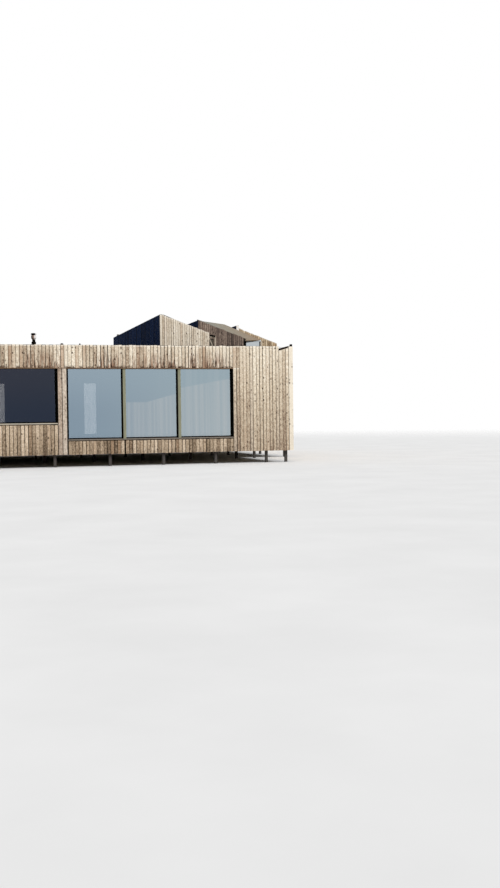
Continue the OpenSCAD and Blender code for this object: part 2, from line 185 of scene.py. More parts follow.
# Upright boards: a tone for each board, mottled along the grain, with knots, and stains round one level
def boardMaterial(name, look):
    material, wire, place = newMaterial(name)
    tone, belowTop, aboveFoot = (wire.node("ShaderNodeAttribute", {"attribute_name": kind}, out="Fac")
                                 for kind in ("tone", "belowTop", "aboveFoot"))
    shift, across, level = tone * 61.0, place.part("X"), place.part("Z")
    grain = noise(place, (75, 75, 5), 4, 0.62, shift)
    fibre = noise(place, (260, 260, 14), 2, 0.5, shift)
    mottle = noise(place, (26, 26, 20), 3, 0.6, shift)
    patch = noise(place, (4.5, 4.5, 1.3), 3, 0.5, shift)
    shade = tone * look["spread"] + (grain - 0.5) * look["grain"] + (patch - 0.5) * look["patch"]
    shade = shade + (mottle - 0.5) * look["mottle"] + (0.5 - 0.5 * look["spread"]) + (fibre - 0.5) * 0.16
    # Slopes darken or lighten a look along one axis; the slopes up the wall are painted shade, darker towards
    # the foot
    for axis, start, end, amount in look["slopes"]:
        shade = shade + (place.part(axis).rise(start, end) - 0.5) * amount
    own = (tone * 7.3).calc("FRACT")
    bleach = (tone * 13.7).calc("FRACT").rise(0.72, 1.0) * (1 - own.rise(0.5, 0.7))
    colour = shade.ramp(look["stops"]).mixed(bleach * look["bleach"], paint(238, 229, 212))
    colour = colour.mixed(own.rise(0.62, 1.0) * patch.rise(0.35, 0.65) * look["warm"], look["warmTone"])
    spot = vectorOf(across * 8.0 + place.part("Y") * 8.0 + shift, level * 5.0, 0.0)
    near = wire.node("ShaderNodeTexVoronoi", {"voronoi_dimensions": "2D"},
                     {"Vector": spot, "Scale": 1.0, "Randomness": 0.9}, "Distance")
    cell = Wire(wire.tree, near.socket.node.outputs["Color"])
    knot = (1 - near.rise(0.08, 0.25)) * (cell.part("X") < look["knotShare"])
    knot = knot * (cell.part("Y") * 0.9 + 0.1) * look["knots"]
    colour = colour.mixed(knot, look["knotTone"])
    area = noise(place, (0.6, 0.6, 0), 1).rise(0.42, 0.58) * 0.5
    for start, end in look["stainAreas"]:
        area = area + across.rise(start - 0.2, start + 0.1) * (1 - across.rise(end - 0.1, end + 0.2))
    away = (level - look["stainLevel"]).calc("ABSOLUTE")
    streak = noise(place, (16, 16, 1.8), 3, 0.6, shift).rise(0.38, 0.60)
    stain = (1 - away.rise(0.0, look["stainReach"])) * area.calc("MINIMUM", 1.0) * streak * look["stain"]
    colour = colour.mixed(stain * 0.85, look["stainTone"])
    vein = noise(place, (34, 34, 3.0), 2, 0.5, shift).rise(0.52, 0.60)
    vein = vein * (1 - away.rise(0.15, look["stainReach"])) * (area + 0.12).calc("MINIMUM", 1.0)
    colour = colour.mixed(vein * look["stain"] * 0.95, look["knotTone"])
    tip = (1 - aboveFoot.rise(0.02, 0.085)) * (own < 0.6) * mottle.rise(0.42, 0.54) * look["tips"]
    colour = colour.mixed(tip, look["knotTone"])
    colour = colour.mixed((1 - belowTop.rise(0.02, 0.06)) * look["ends"], paint(244, 236, 222))
    relief = bump(grain * 0.6 + fibre * 0.2 + mottle * 0.2 - knot * 0.4, 0.5, 0.003)
    return finishMaterial(material, colour, 0.86 - grain * 0.16, relief, look["gloss"])


weathered = {
    "stops": shades((0, 104, 84, 68), (0.25, 156, 136, 115), (0.5, 192, 175, 152), (0.75, 217, 203, 181),
                    (1, 242, 232, 214)),
    "spread": 0.56, "grain": 0.6, "mottle": 1.35, "patch": 0.45, "bleach": 0.5, "ends": 0.5, "tips": 1.0,
    "warm": 0.6, "warmTone": paint(172, 138, 110), "gloss": 0.2,
    "knots": 1.0, "knotShare": 0.34, "knotTone": paint(66, 46, 33),
    # The upright slope is painted shade: the boards darken towards the foot
    "slopes": [("X", 0.4, 2.8, 0.10), ("X", 6.9, 8.3, 0.05), ("Z", 0.4, 3.3, 0.20)],
    "stain": 1.0, "stainLevel": 3.29, "stainReach": 0.75, "stainTone": paint(136, 98, 75),
    "stainAreas": [(0.3, 1.2), (2.6, 3.3), (4.45, 5.1), (5.7, 6.7)],
}
calm = dict(weathered, tips=0.0, stain=0.0, slopes=[])
even = dict(calm, bleach=0.0, ends=0.0, stainAreas=[])
boardLooks = {
    "weathered": weathered,
    "wall": dict(
        calm, bleach=0.2, spread=0.30, patch=0.3, knotShare=0.42, warm=0.25,
        stain=0.5, stainLevel=0.41, stainReach=0.6, stainAreas=[],
        # Painted shade: this wall darkens strongly towards its foot, as in the shadow of plants
        slopes=[("Z", 0.2, 4.4, 0.40), ("X", 6.9, 8.3, 0.05)]),
    "greyed": dict(
        calm, bleach=0.2, spread=0.4, warm=0.3, stain=0.3, ends=0.0, slopes=[("Z", 0.4, 3.3, 0.1)],
        stops=shades((0, 80, 66, 54), (0.3, 136, 120, 105), (0.6, 178, 162, 146), (1, 220, 207, 190))),
    "edge": dict(
        calm, spread=0.2, warm=0.2, stain=0.2, slopes=[("Z", 0.4, 3.3, 0.2)],
        stops=shades((0, 158, 142, 122), (0.5, 214, 201, 181), (1, 234, 223, 206))),
    "bleached": dict(
        calm, spread=0.2, warm=0.0, knots=0.4,
        stops=shades((0, 196, 190, 182), (0.5, 232, 228, 222), (1, 246, 244, 240))),
    "pale": dict(
        calm, spread=0.42, mottle=1.1, warm=0.35, knotShare=0.5,
        stops=shades((0, 132, 114, 96), (0.3, 192, 176, 155), (0.6, 224, 211, 191), (1, 250, 242, 228))),
    "golden": dict(
        calm, bleach=0.1, ends=0.2, spread=0.5, mottle=1.1, warmTone=paint(178, 136, 94),
        stops=shades((0, 112, 90, 66), (0.3, 158, 137, 110), (0.6, 190, 170, 140), (1, 220, 203, 176))),
    "shaded": dict(
        even, spread=0.6, warm=0.4, warmTone=paint(146, 112, 82), knotTone=paint(62, 46, 36),
        slopes=[("Z", 0.7, 1.3, 0.16), ("X", 2.4, 4.2, 0.12)],
        stain=0.6, stainLevel=0.41, stainReach=0.2, stainTone=paint(92, 74, 58),
        stops=shades((0, 84, 68, 52), (0.3, 142, 123, 101), (0.6, 182, 162, 138), (1, 226, 208, 185))),
    # Painted shade: the second monitor's front is dark brown as if in shade, darker towards its right; its
    # stain at level 4.22 is a dark band along its foot
    "shadedBrown": dict(
        even, mottle=1.3, spread=0.5, warm=0.4, warmTone=paint(120, 90, 76), knotTone=paint(48, 38, 33),
        slopes=[("X", 7.0, 8.6, -0.08)], stainAreas=[(6.8, 8.7)],
        stain=1.1, stainLevel=4.22, stainReach=0.16, stainTone=paint(54, 42, 30),
        stops=shades((0, 52, 42, 36), (0.35, 95, 81, 73), (0.65, 130, 113, 101), (1, 174, 156, 141))),
    # Dark stain with the navy blue of sky shade painted in, for the monitors' high sides
    "stainedSkyShade": dict(
        even, mottle=1.2, spread=0.6, warm=0.0, knots=0.2, knotTone=paint(10, 13, 22), gloss=0.02,
        stops=shades((0, 0, 5, 17), (0.4, 7, 23, 51), (0.7, 17, 38, 75), (1, 42, 63, 102))),
}
boardMaterials = {name: boardMaterial(name + "Boards", look) for name, look in boardLooks.items()}
print("boards: materials made")


# Levels and lines of the house, read from the frame
def low(node):
    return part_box(node)[0]


def high(node):
    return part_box(node)[1]


house = {
    "left": low("front_wall_left").x, "frontRight": high("front_wall_right").x,
    "right": high("wing_side_wall").x, "wall": high("front_parapet").y - low("front_parapet").y,
    "front": low("front_parapet").y, "wingFront": low("wing_front_wall").y, "back": high("back_parapet").y,
    "foot": low("front_skirts").z, "floor": high("floor_deck").z, "head": low("front_parapet").z,
    "ceiling": low("roof_deck_left").z, "roof": high("roof_deck_left").z,
    "parapet": high("front_parapet").z,
}
sillThickness = high("front_sills").z - high("middle_apron").z
wideSill = high("front_skirts").z + sillThickness
openings = [
    {"left": high("front_wall_left").x, "right": low("front_piers").x, "panes": 3, "sill": wideSill},
    {"left": low("middle_apron").x, "right": high("middle_apron").x, "panes": 2,
     "sill": high("front_sills").z},
    {"left": high("front_piers").x, "right": low("front_wall_right").x, "panes": 3, "sill": wideSill},
]
backWindows = {"pitch": 4.0, "count": 5, "head": low("back_parapet").z}
backStarts = [low("back_skirts").x + index * backWindows["pitch"] for index in range(backWindows["count"])]
backWidth = high("back_skirts").x - backStarts[-1]
backOpenings = [(left, left + backWidth) for left in backStarts]
fall = math.tan(math.radians(20))
feltDrop = 0.10  # the felt on a monitor lies this far below its walls' tops
monitors = []
for number in (1, 2, 3):
    lowest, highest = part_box(f"monitor_{number}_front")
    monitors.append({"left": lowest.x, "right": highest.x, "front": lowest.y, "top": highest.z,
                     "back": high("monitor_back_walls").y, "wall": highest.y - lowest.y})
# Raised edge along the third monitor's high side
upstand = {"width": 0.086, "above": 0.09, "top": monitors[2]["top"]}
monitors[2]["top"] -= upstand["above"]


def monitorTop(monitor, x):
    return monitor["top"] - fall * (x - monitor["left"])


# Camera at the photograph's place, eye level above the sand in front of the house
cameraPlace = {"at": (house["left"] + 8.501, house["front"] - 35.014, 1.588),
               "yaw": 16.05, "pitch": 1.47, "roll": 0.683, "lens": 42.57, "reach": 1000}


def addCamera():
    yaw, pitch, roll = (math.radians(cameraPlace[name]) for name in ("yaw", "pitch", "roll"))
    ahead = Vector((math.sin(yaw) * math.cos(pitch), math.cos(yaw) * math.cos(pitch), -math.sin(pitch)))
    level = Vector((math.cos(yaw), -math.sin(yaw), 0))
    up = level.cross(ahead)
    right = math.cos(roll) * level - math.sin(roll) * up
    up = math.sin(roll) * level + math.cos(roll) * up
    lens = bpy.data.cameras.new("photoCamera")
    lens.lens, lens.clip_end = cameraPlace["lens"], cameraPlace["reach"]
    camera = linked("photoCamera", lens)
    turn = Matrix((right, up, -ahead)).transposed().to_4x4()
    camera.matrix_world = Matrix.Translation(cameraPlace["at"]) @ turn
    bpy.context.scene.camera = camera


addCamera()
print("camera: placed")

# Soft key light from the right front, even fill from the sky, white for the eye and for reflections
light = {"towards": (0.60, -0.62, 0.50), "strength": 2.5, "softness": 12, "fill": 0.55, "backdrop": 1.0}


def addLight():
    lamp = bpy.data.lights.new("keyLight", "SUN")
    lamp.energy, lamp.angle = light["strength"], math.radians(light["softness"])
    linked("keyLight", lamp).rotation_euler = Vector(light["towards"]).to_track_quat("Z", "Y").to_euler()
    world = bpy.data.worlds.new("studio")
    bpy.context.scene.world = world
    world.use_nodes = True
    world.node_tree.nodes.clear()
    wire = Wire(world.node_tree)
    seen, mirrored, through = (wire.node("ShaderNodeLightPath", out=kind) for kind in (
        "Is Camera Ray", "Is Glossy Ray", "Is Transmission Ray"))
    shown = (seen + mirrored + through).calc("MINIMUM", 1.0)
    white = (1, 1, 1, 1)
    fill, backdrop = (wire.node("ShaderNodeBackground", None, {"Color": white, "Strength": light[name]})
                      for name in ("fill", "backdrop"))
    both = wire.node("ShaderNodeMixShader", None, {0: shown, 1: fill, 2: backdrop})
    feed(world.node_tree.nodes.new("ShaderNodeOutputWorld"), {"Surface": both})


addLight()
bpy.context.scene.view_settings.view_transform = "Standard"

# Pale floor that fades out into the background
floorLook = {"radius": 90, "fadeFrom": 30, "fadeTo": 85, "drop": 0.002, "clouds": 0.6,
             "tones": [(0.3, (0.83, 0.83, 0.83, 1)), (0.7, (0.88, 0.88, 0.88, 1))]}


def addFloor():
    shape = bmesh.new()
    bmesh.ops.create_circle(shape, cap_ends=True, segments=96, radius=floorLook["radius"],
                            matrix=Matrix.Translation((0, 0, -floorLook["drop"])))
    mesh = bpy.data.meshes.new("studioFloor")
    shape.to_mesh(mesh)
    shape.free()
    material, wire, place = newMaterial("paleFloor")
    flat = place.stretched((1, 1, 0))
    reach = wire.node("ShaderNodeVectorMath", {"operation": "LENGTH"}, {0: flat}, "Value")
    faded = reach.rise(floorLook["fadeFrom"], floorLook["fadeTo"])
    tint = noise(place, floorLook["clouds"], 4).ramp(floorLook["tones"])
    pale = wire.node("ShaderNodeBsdfDiffuse", None, {"Color": tint})
    clear = wire.node("ShaderNodeBsdfTransparent")
    both = wire.node("ShaderNodeMixShader", None, {0: faded, 1: pale, 2: clear})
    feed(material.node_tree.nodes["Material Output"], {"Surface": both})
    mesh.materials.append(material)
    floor = linked("studioFloor", mesh)


addFloor()
print("studio: light and floor placed")


# A Geometry Nodes tree with named inputs, which ends in realized instances and their material
def openTree(name, numbers, counts):
    tree = bpy.data.node_groups.new(name, "GeometryNodeTree")
    for kind, given in (("NodeSocketFloat", numbers), ("NodeSocketInt", counts)):
        for label, value in given.items():
            socket = tree.interface.new_socket(label, in_out="INPUT", socket_type=kind)
            socket.default_value = value
    tree.interface.new_socket("Finish", in_out="INPUT", socket_type="NodeSocketMaterial")
    tree.interface.new_socket("Made", in_out="OUTPUT", socket_type="NodeSocketGeometry")
    sockets = tree.nodes.new("NodeGroupInput").outputs
    return Wire(tree), {socket.name: Wire(tree, socket) for socket in sockets if socket.name}


def closeTree(laid, finish):
    laid = laid.node("GeometryNodeRealizeInstances", None, {"Geometry": laid})
    laid = laid.node("GeometryNodeSetMaterial", None, {"Geometry": laid, "Material": finish})
    feed(laid.tree.nodes.new("NodeGroupOutput"), {"Made": laid})
    return laid.tree


# One row of upright boards along +X, faces towards -Y, backs at y = 0
def boardRowTree():
    wire, size = openTree("boardRow", {
        "Length": 1.0, "Pitch": 0.12, "Gap": 0.014, "Thickness": 0.02, "Edge": 0.003, "Foot Start": 0.0,
        "Foot End": 0.0, "Top Start": 1.0, "Top End": 1.0, "Uneven": 0.008, "Bow": 0.003,
        "Notch Start": 99.0, "Notch End": 100.0, "Notch Drop": 0.0}, {"Seed": 0})

    def chance(least, most, salt):
        values = {"Min": least, "Max": most, "Seed": size["Seed"] + salt}
        return wire.node("FunctionNodeRandomValue", {"data_type": "FLOAT"}, values, "Value")

    def noted(laid, name, value, domain="POINT"):
        return wire.node("GeometryNodeStoreNamedAttribute", {"data_type": "FLOAT", "domain": domain},
                         {"Geometry": laid, "Name": name, "Value": value})

    count = (size["Length"] / size["Pitch"]).calc("ROUND")
    step = size["Length"] / count
    line = wire.node("GeometryNodeMeshLine", {"mode": "OFFSET"}, {
        "Count": count, "Start Location": vectorOf(step * 0.5, 0.0, 0.0), "Offset": vectorOf(step, 0.0, 0.0)})
    outline = wire.node("GeometryNodeCurvePrimitiveQuadrilateral", {"mode": "RECTANGLE"}, {
        "Width": step - size["Gap"], "Height": size["Thickness"]})
    outline = wire.node("GeometryNodeFilletCurve", {"mode": "POLY"}, {
        "Curve": outline, "Radius": size["Edge"], "Count": 1})
    stem = wire.node("GeometryNodeCurvePrimitiveLine", None, {"Start": (0, 0, 0), "End": (0, 0, 1)})
    stem = wire.node("GeometryNodeResampleCurve", {"mode": "COUNT"}, {"Curve": stem, "Count": 5})
    board = wire.node("GeometryNodeCurveToMesh", None, {
        "Curve": stem, "Profile Curve": outline, "Fill Caps": True})
    board = wire.node("GeometryNodeSetShadeSmooth", None, {"Geometry": board, "Shade Smooth": False})
    wider = chance(-0.35, 0.7, 1) * size["Gap"] / (step - size["Gap"]) + 1.0
    laid = wire.node("GeometryNodeInstanceOnPoints", None, {
        "Points": line, "Instance": board, "Scale": vectorOf(wider, chance(0.86, 1.1, 2), 1.0)})
    laid = noted(laid, "tone", chance(0.0, 1.0, 3), "INSTANCE")
    laid = wire.node("GeometryNodeRealizeInstances", None, {"Geometry": laid})
    tone = wire.node("GeometryNodeInputNamedAttribute", {"data_type": "FLOAT"}, {"Name": "tone"},
                     "Attribute")
    across, deep, along = wire.node("GeometryNodeInputPosition").parts()

    def spare(factor):
        return (tone * factor).calc("FRACT") - 0.5

    def slanted(name):
        start, end = size[name + " Start"], size[name + " End"]
        return start + (end - start) * across / size["Length"]

    back = (size["Notch End"] - across) / (size["Notch End"] - size["Notch Start"])
    cut = (across > size["Notch Start"]) * back.calc("MAXIMUM", 0.0) * size["Notch Drop"]
    top = slanted("Top") - cut + spare(43.7) * size["Uneven"]
    foot = slanted("Foot") + spare(91.3) * size["Uneven"]
    swell = (along * math.pi).calc("SINE") * spare(27.1) * size["Bow"]
    lean = (along - 0.5) * spare(65.9) * size["Bow"]
    laid = noted(laid, "belowTop", (1 - along) * (top - foot))
    laid = noted(laid, "aboveFoot", along * (top - foot))
    moved = vectorOf(across + lean, deep - size["Thickness"] * 0.56 + swell, foot + along * (top - foot))
    laid = wire.node("GeometryNodeSetPosition", None, {"Geometry": laid, "Position": moved})
    return closeTree(laid, size["Finish"])


boardRow = boardRowTree()
boardSizes = {"Pitch": 0.12, "Gap": 0.020, "Thickness": 0.020, "Uneven": 0.014}
slatSizes = {"Pitch": 0.081, "Gap": 0.012, "Thickness": 0.018, "Uneven": 0.006}
edgeSizes = {"Pitch": 0.15, "Gap": 0.004, "Thickness": 0.030, "Uneven": 0.0}
facing = {"front": 0, "right": 90, "back": 180, "left": -90}
boardRows = []  # every row of boards, for the nails


# Mesh that a node tree makes from its named inputs
def treeMesh(tree, values):
    names = {item.name: item.identifier for item in tree.interface.items_tree if item.in_out == "INPUT"}
    holder = linked("holder", bpy.data.meshes.new("holder"))
    modifier = holder.modifiers.new("maker", "NODES")
    modifier.node_group = tree
    for name, value in values.items():
        modifier[names[name]] = value
    bpy.context.view_layer.update()
    mesh = bpy.data.meshes.new_from_object(holder.evaluated_get(bpy.context.evaluated_depsgraph_get()))
    bpy.data.objects.remove(holder)
    return mesh


# Turns a mesh made along +X into a wall face: line is the face's own coordinate, start and end run along it
def placed(mesh, face, line, start, end, proud=0.0):
    out = line + proud * (-1 if face in ("front", "left") else 1)
    spot = {"front": (start, out), "right": (out, start), "back": (end, out), "left": (out, end)}[face]
    mesh.transform(Matrix.Translation((*spot, 0)) @ Matrix.Rotation(math.radians(facing[face]), 4, "Z"))
    return mesh


def boardMesh(face, line, start, end, foot=house["foot"], top=house["parapet"], finish="weathered",
              sizes=boardSizes, proud=0.0, **more):
    boardRows.append({"place": (face, line, start, end, proud), "length": end - start,
                      "foot": foot, "top": top, "wide": sizes is boardSizes})
    values = {"Length": end - start, "Foot Start": foot, "Foot End": foot, "Top Start": top, "Top End": top,
              "Seed": 17 * len(boardRows), "Finish": boardMaterials[finish], **sizes}
    values.update({name.replace("_", " "): value for name, value in more.items()})
    return placed(treeMesh(boardRow, values), face, line, start, end, proud)


def addPiece(name, meshes, material=None):
    parts = [linked(name, mesh) for mesh in (meshes if isinstance(meshes, list) else [meshes])]
    piece = parts[0]
    if len(parts) > 1:
        with bpy.context.temp_override(active_object=piece, object=piece, selected_editable_objects=parts,
                                       selected_objects=parts):
            bpy.ops.object.join()
    piece.name = piece.data.name = name
    if material:
        piece.data.materials.clear()
        piece.data.materials.append(material)
    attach(piece, "root")
    return piece


# Front boards: the parapet over the windows, end walls in full height, piers, skirts and the apron
front, head = house["front"], house["head"]
beamLeft, beamRight = low("front_parapet").x, high("front_parapet").x
notch = {"start": low("end_flashing").x, "end": high("end_flashing").x,
         "drop": house["parapet"] - low("end_flashing").z}
frontSizes = {"cover": 0.022, "cornerBoard": 0.15, "reveal": 0.030, "sillGap": 0.026, "finGap": 0.02,
              "beamProud": 0.004, "beamLap": 0.004, "beamUneven": 0.024}
cover, reveal, cornerBoard = (frontSizes[name] for name in ("cover", "reveal", "cornerBoard"))
cornerEnd = house["frontRight"] + cover

addPiece("front_wall_boards", [
    boardMesh("front", front, house["left"] - cover, beamLeft, finish="wall"),
    boardMesh("front", front, beamLeft, openings[0]["left"] - reveal, top=head, finish="wall"),
    boardMesh("front", front, openings[2]["right"], beamRight, top=head, finish="wall"),
    boardMesh("front", front, beamRight, cornerEnd - cornerBoard, finish="wall", Notch_Drop=notch["drop"],
              Notch_Start=notch["start"] - beamRight, Notch_End=notch["end"] - beamRight),
    *(boardMesh("front", front, before["right"], after["left"] - reveal, top=head, finish="greyed")
      for before, after in zip(openings, openings[1:])),
])
addPiece("front_parapet_boards",
         boardMesh("front", front, beamLeft, beamRight, head - frontSizes["beamLap"],
                   proud=frontSizes["beamProud"], Uneven=frontSizes["beamUneven"]))
skirtRows = []
for opening in openings:
    cuts = [opening["left"], opening["right"]]
    if opening["panes"] == 3:
        joint = opening["left"] + (opening["right"] - opening["left"]) / 3
        cuts[1:1] = [joint - frontSizes["finGap"], joint + frontSizes["finGap"]]
    for start, end in zip(cuts[::2], cuts[1::2]):
        skirtRows.append(boardMesh("front", low("front_skirts").y, start, end, finish="shaded",
                                   top=opening["sill"] - sillThickness - frontSizes["sillGap"]))
addPiece("front_skirt_boards", skirtRows)

# Boards on the sides, the wing and the back
addPiece("side_wall_boards", [
    boardMesh("left", house["left"], front, house["back"]),
    boardMesh("right", house["frontRight"], front + cornerBoard, house["wingFront"]),
    boardMesh("front", house["wingFront"], house["frontRight"], house["right"] + cover),
    boardMesh("right", house["right"], house["wingFront"], house["back"]),
])
backEdges = [house["left"] - cover, *sum(backOpenings, ()), house["right"] + cover]
addPiece("back_wall_boards", [
    *(boardMesh("back", house["back"], start, end, top=backWindows["head"])
      for start, end in zip(backEdges[::2], backEdges[1::2])),
    *(boardMesh("back", high("back_skirts").y, left, right, top=house["floor"] - frontSizes["sillGap"],
                finish="shaded") for left, right in backOpenings),
    boardMesh("back", house["back"], backEdges[0], backEdges[-1],
              backWindows["head"] - frontSizes["beamLap"], proud=frontSizes["beamProud"]),
])
print("boards: walls laid")

# Slats on the roof monitors: dark stain on the high sides, with the blue of sky shade painted in; dark brown
# on the low sides and on the second monitor's front, where the dark brown is painted shade
slatRow = {"cover": 0.020, "above": 0.012, "uneven": 0.03, "sideRunOn": 0.38, "lowGap": 0.22,
           "parapetGap": 0.02, "cornerIn": 0.06, "cornerWidth": 0.08,
           "sideThickness": 0.014, "lowThickness": 0.012}
frontLooks = [("pale", "weathered_boards"), ("shadedBrown", "brown_boards"), ("golden", "weathered_boards")]
roof, aboveParapet = house["roof"], house["parapet"] + slatRow["parapetGap"]
paneLow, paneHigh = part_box("monitor_3_glass")
sideRows, lowRows, cornerRows = [], [], []
for number, (monitor, (finish, slot)) in enumerate(zip(monitors, frontLooks), 1):
    left, right, near, back = (monitor[name] for name in ("left", "right", "front", "back"))
    corner = left + (slatRow["cornerIn"], 0, upstand["width"])[number - 1]
    highTop, cornerFall = monitor["top"], fall * slatRow["cornerWidth"]
    spans = [(corner, right + slatRow["cover"] * 0.5, roof, None)]
    if number == 3:
        highTop, cornerFall = upstand["top"], 0
        spans = [(corner, paneLow.x, roof, None), (paneLow.x, paneHigh.x, roof, paneLow.z),
                 (paneLow.x, paneHigh.x, paneHigh.z, None), (paneHigh.x, right, roof, None)]
    slatRows = []
    for start, end, foot, level in spans:
        tops = [(level or monitorTop(monitor, min(x, right))) + slatRow["above"] for x in (start, end)]
        slatRows.append(boardMesh("front", near, start, end, foot, tops[0], finish, slatSizes,
                                  Top_End=tops[1], Uneven=slatRow["uneven"]))
    addPiece(f"monitor_{number}_front_slats", slatRows)
    sideRows.append(boardMesh("left", left, near, back + slatRow["sideRunOn"], roof, highTop, "stainedSkyShade",
                              slatSizes, Thickness=slatRow["sideThickness"]))
    if number != 2:
        cornerRows.append(boardMesh("front", near, left - slatRow["cover"], corner, roof, highTop,
                                    "bleached" if number == 3 else "edge", edgeSizes,
                                    Top_End=highTop - cornerFall))
    lowRows.append(boardMesh("right", right, near + monitor["wall"], back,
                             aboveParapet if number == 3 else roof,
                             monitorTop(monitor, right) - slatRow["lowGap"], "shadedBrown", slatSizes,
                             Thickness=slatRow["lowThickness"]))
for number, row in enumerate(sideRows, 1):
    addPiece(f"monitor_{number}_side_slats", row)
addPiece("monitor_low_slats", lowRows)
addPiece("monitor_back_slats", [
    boardMesh("back", monitor["back"], monitor["left"], monitor["right"], aboveParapet,
              monitorTop(monitor, monitor["right"]), "pale", slatSizes, Top_End=monitor["top"])
    for monitor in monitors])
for face, line, start, end in (("front", front, cornerEnd - cornerBoard, cornerEnd),
                               ("right", house["frontRight"], front, front + cornerBoard)):
    cornerRows.append(boardMesh(face, line, start, end, finish="edge", sizes=edgeSizes))
addPiece("corner_boards", cornerRows)

# Slats on the low wall under the canopy's ridge
canopy = {"rise": math.tan(math.radians(16)), "above": 0.006, "underRise": math.tan(math.radians(17.5)),
          "thickness": 0.09, "nearEdge": 0.085, "farEdge": 0.014, "chamfer": 0.30, "cornerLift": 0.07,
          "farLift": 0.035, "ridgeEnd": (-0.28, 0.85), "gableStart": 0.30, "gableSeed": 5}
canopyStart = low("canopy_roof").to_2d()
canopyNear = Vector((high("canopy_post").x, canopyStart.y))
canopyFar = Vector((high("canopy_roof").x, monitors[2]["front"]))
canopyCorner = Vector((monitors[2]["left"], monitors[2]["front"]))
ridgeEnd = canopyCorner + Vector(canopy["ridgeEnd"])
canopyRun = (canopyFar - canopyNear).normalized()


def canopyTop(spot):
    level = monitorTop(monitors[1], spot.x) + canopy["above"]
    return level + canopy["rise"] * (spot.y - monitors[1]["front"])


def canopyUnder(spot):
    level = monitorTop(monitors[1], spot.x) - canopy["thickness"]
    return level + canopy["underRise"] * (spot.y - canopyStart.y)


ridge = (ridgeEnd - canopyStart).normalized()
gableEnds = {"Start": ridgeEnd, "End": canopyStart + ridge * canopy["gableStart"]}
slats = treeMesh(boardRow, {
    "Length": (gableEnds["Start"] - gableEnds["End"]).length,
    **{f"Foot {name}": monitorTop(monitors[1], spot.x) - feltDrop for name, spot in gableEnds.items()},
    **{f"Top {name}": canopyUnder(spot) for name, spot in gableEnds.items()},
    "Seed": canopy["gableSeed"], "Finish": boardMaterials["shadedBrown"],
    **slatSizes, "Thickness": slatRow["sideThickness"]})
turn = Matrix.Rotation(math.atan2(-ridge.y, -ridge.x), 4, "Z")
slats.transform(Matrix.Translation((*ridgeEnd, 0)) @ turn)
addPiece("canopy_gable_slats", slats)
print("boards: monitors laid")


# Nail heads: a field of small round studs that face -Y
def studTree():
    wire, size = openTree("studField", {
        "Across Step": 0.06, "Up Step": 0.6, "Radius": 0.005, "Height": 0.012, "Jitter": 0.006},
        {"Across Count": 2, "Up Count": 2, "Seed": 0})

    def line(count, *offset):
        return wire.node("GeometryNodeMeshLine", {"mode": "OFFSET"}, {
            "Count": count, "Offset": vectorOf(*offset)})

    column = line(size["Up Count"], 0.0, 0.0, size["Up Step"])
    rows = line(size["Across Count"], size["Across Step"], 0.0, 0.0)
    points = wire.node("GeometryNodeInstanceOnPoints", None, {"Points": rows, "Instance": column})
    points = wire.node("GeometryNodeRealizeInstances", None, {"Geometry": points})
    least, most = (vectorOf(reach, 0.0, reach) for reach in (0 - size["Jitter"], size["Jitter"]))
    moved = wire.node("FunctionNodeRandomValue", {"data_type": "FLOAT_VECTOR"},
                      {"Min": least, "Max": most, "Seed": size["Seed"]}, "Value")
    points = wire.node("GeometryNodeSetPosition", None, {"Geometry": points, "Offset": moved})
    stud = wire.node("GeometryNodeMeshCylinder", None, {
        "Vertices": 6, "Radius": size["Radius"], "Depth": size["Height"]}, "Mesh")
    laid = wire.node("GeometryNodeInstanceOnPoints", None, {
        "Points": points, "Instance": stud, "Rotation": (math.pi / 2, 0, 0)})
    return closeTree(laid, size["Finish"])


# Plain finishes
def flatFinish(name, colour, darker, scale, roughness, metallic=0.0, grain=0.3, depth=0.001, specular=0.3):
    material, wire, place = newMaterial(name)
    cloud, fine = noise(place, scale, 4), noise(place, scale * 12, 2)
    tone = (cloud * 0.6 + fine * 0.4).ramp(shades((0.3, *darker), (0.7, *colour)))
    return finishMaterial(material, tone, roughness + (cloud - 0.5) * 0.2, bump(fine, grain, depth),
                          specular, Metallic=metallic)


# Tones that change from the left end of a piece to its right end, a little cloudy
def sideTone(name, left, right, stops, roughness, specular):
    material, wire, place = newMaterial(name)
    cloud, fine = noise(place, 4, 4), noise(place, 60, 2)
    along = (place.part("X") - left) / (right - left) + (cloud - 0.5) * 0.2
    dim = (fine * 0.5 + cloud * 0.5).ramp(shades((0.3, 225, 225, 225), (0.7, 255, 255, 255)))
    colour = along.ramp(shades(*stops)).mixed(1.0, dim, "MULTIPLY")
    return finishMaterial(material, colour, roughness, bump(fine, 0.2, 0.001), specular)


# Dark behind the boards, pale inside the rooms, grey felt on the parapets' inner faces
def wallBacking(slack=0.01):
    material, wire, place = newMaterial("wallBacking")
    x, y, z = place.parts()
    skin = house["wall"] - slack
    inside = (x > house["left"] + skin) * (x < house["right"] - skin)
    inside = inside * (y > front + skin) * (y < house["back"] - skin)
    lining = inside * (z > house["floor"] - slack) * (z < house["ceiling"] + slack)
    upstands = inside * (z > roof - slack)
    cloud = noise(place, (3, 3, 1), 4)
    colour = cloud.ramp(shades((0.3, 11, 9, 7), (0.7, 22, 19, 15)))
    colour = colour.mixed(lining, paint(150, 140, 124)).mixed(upstands, paint(92, 90, 86))
    return finishMaterial(material, colour, 0.9, bump(cloud, 0.2, 0.002), 0.05)
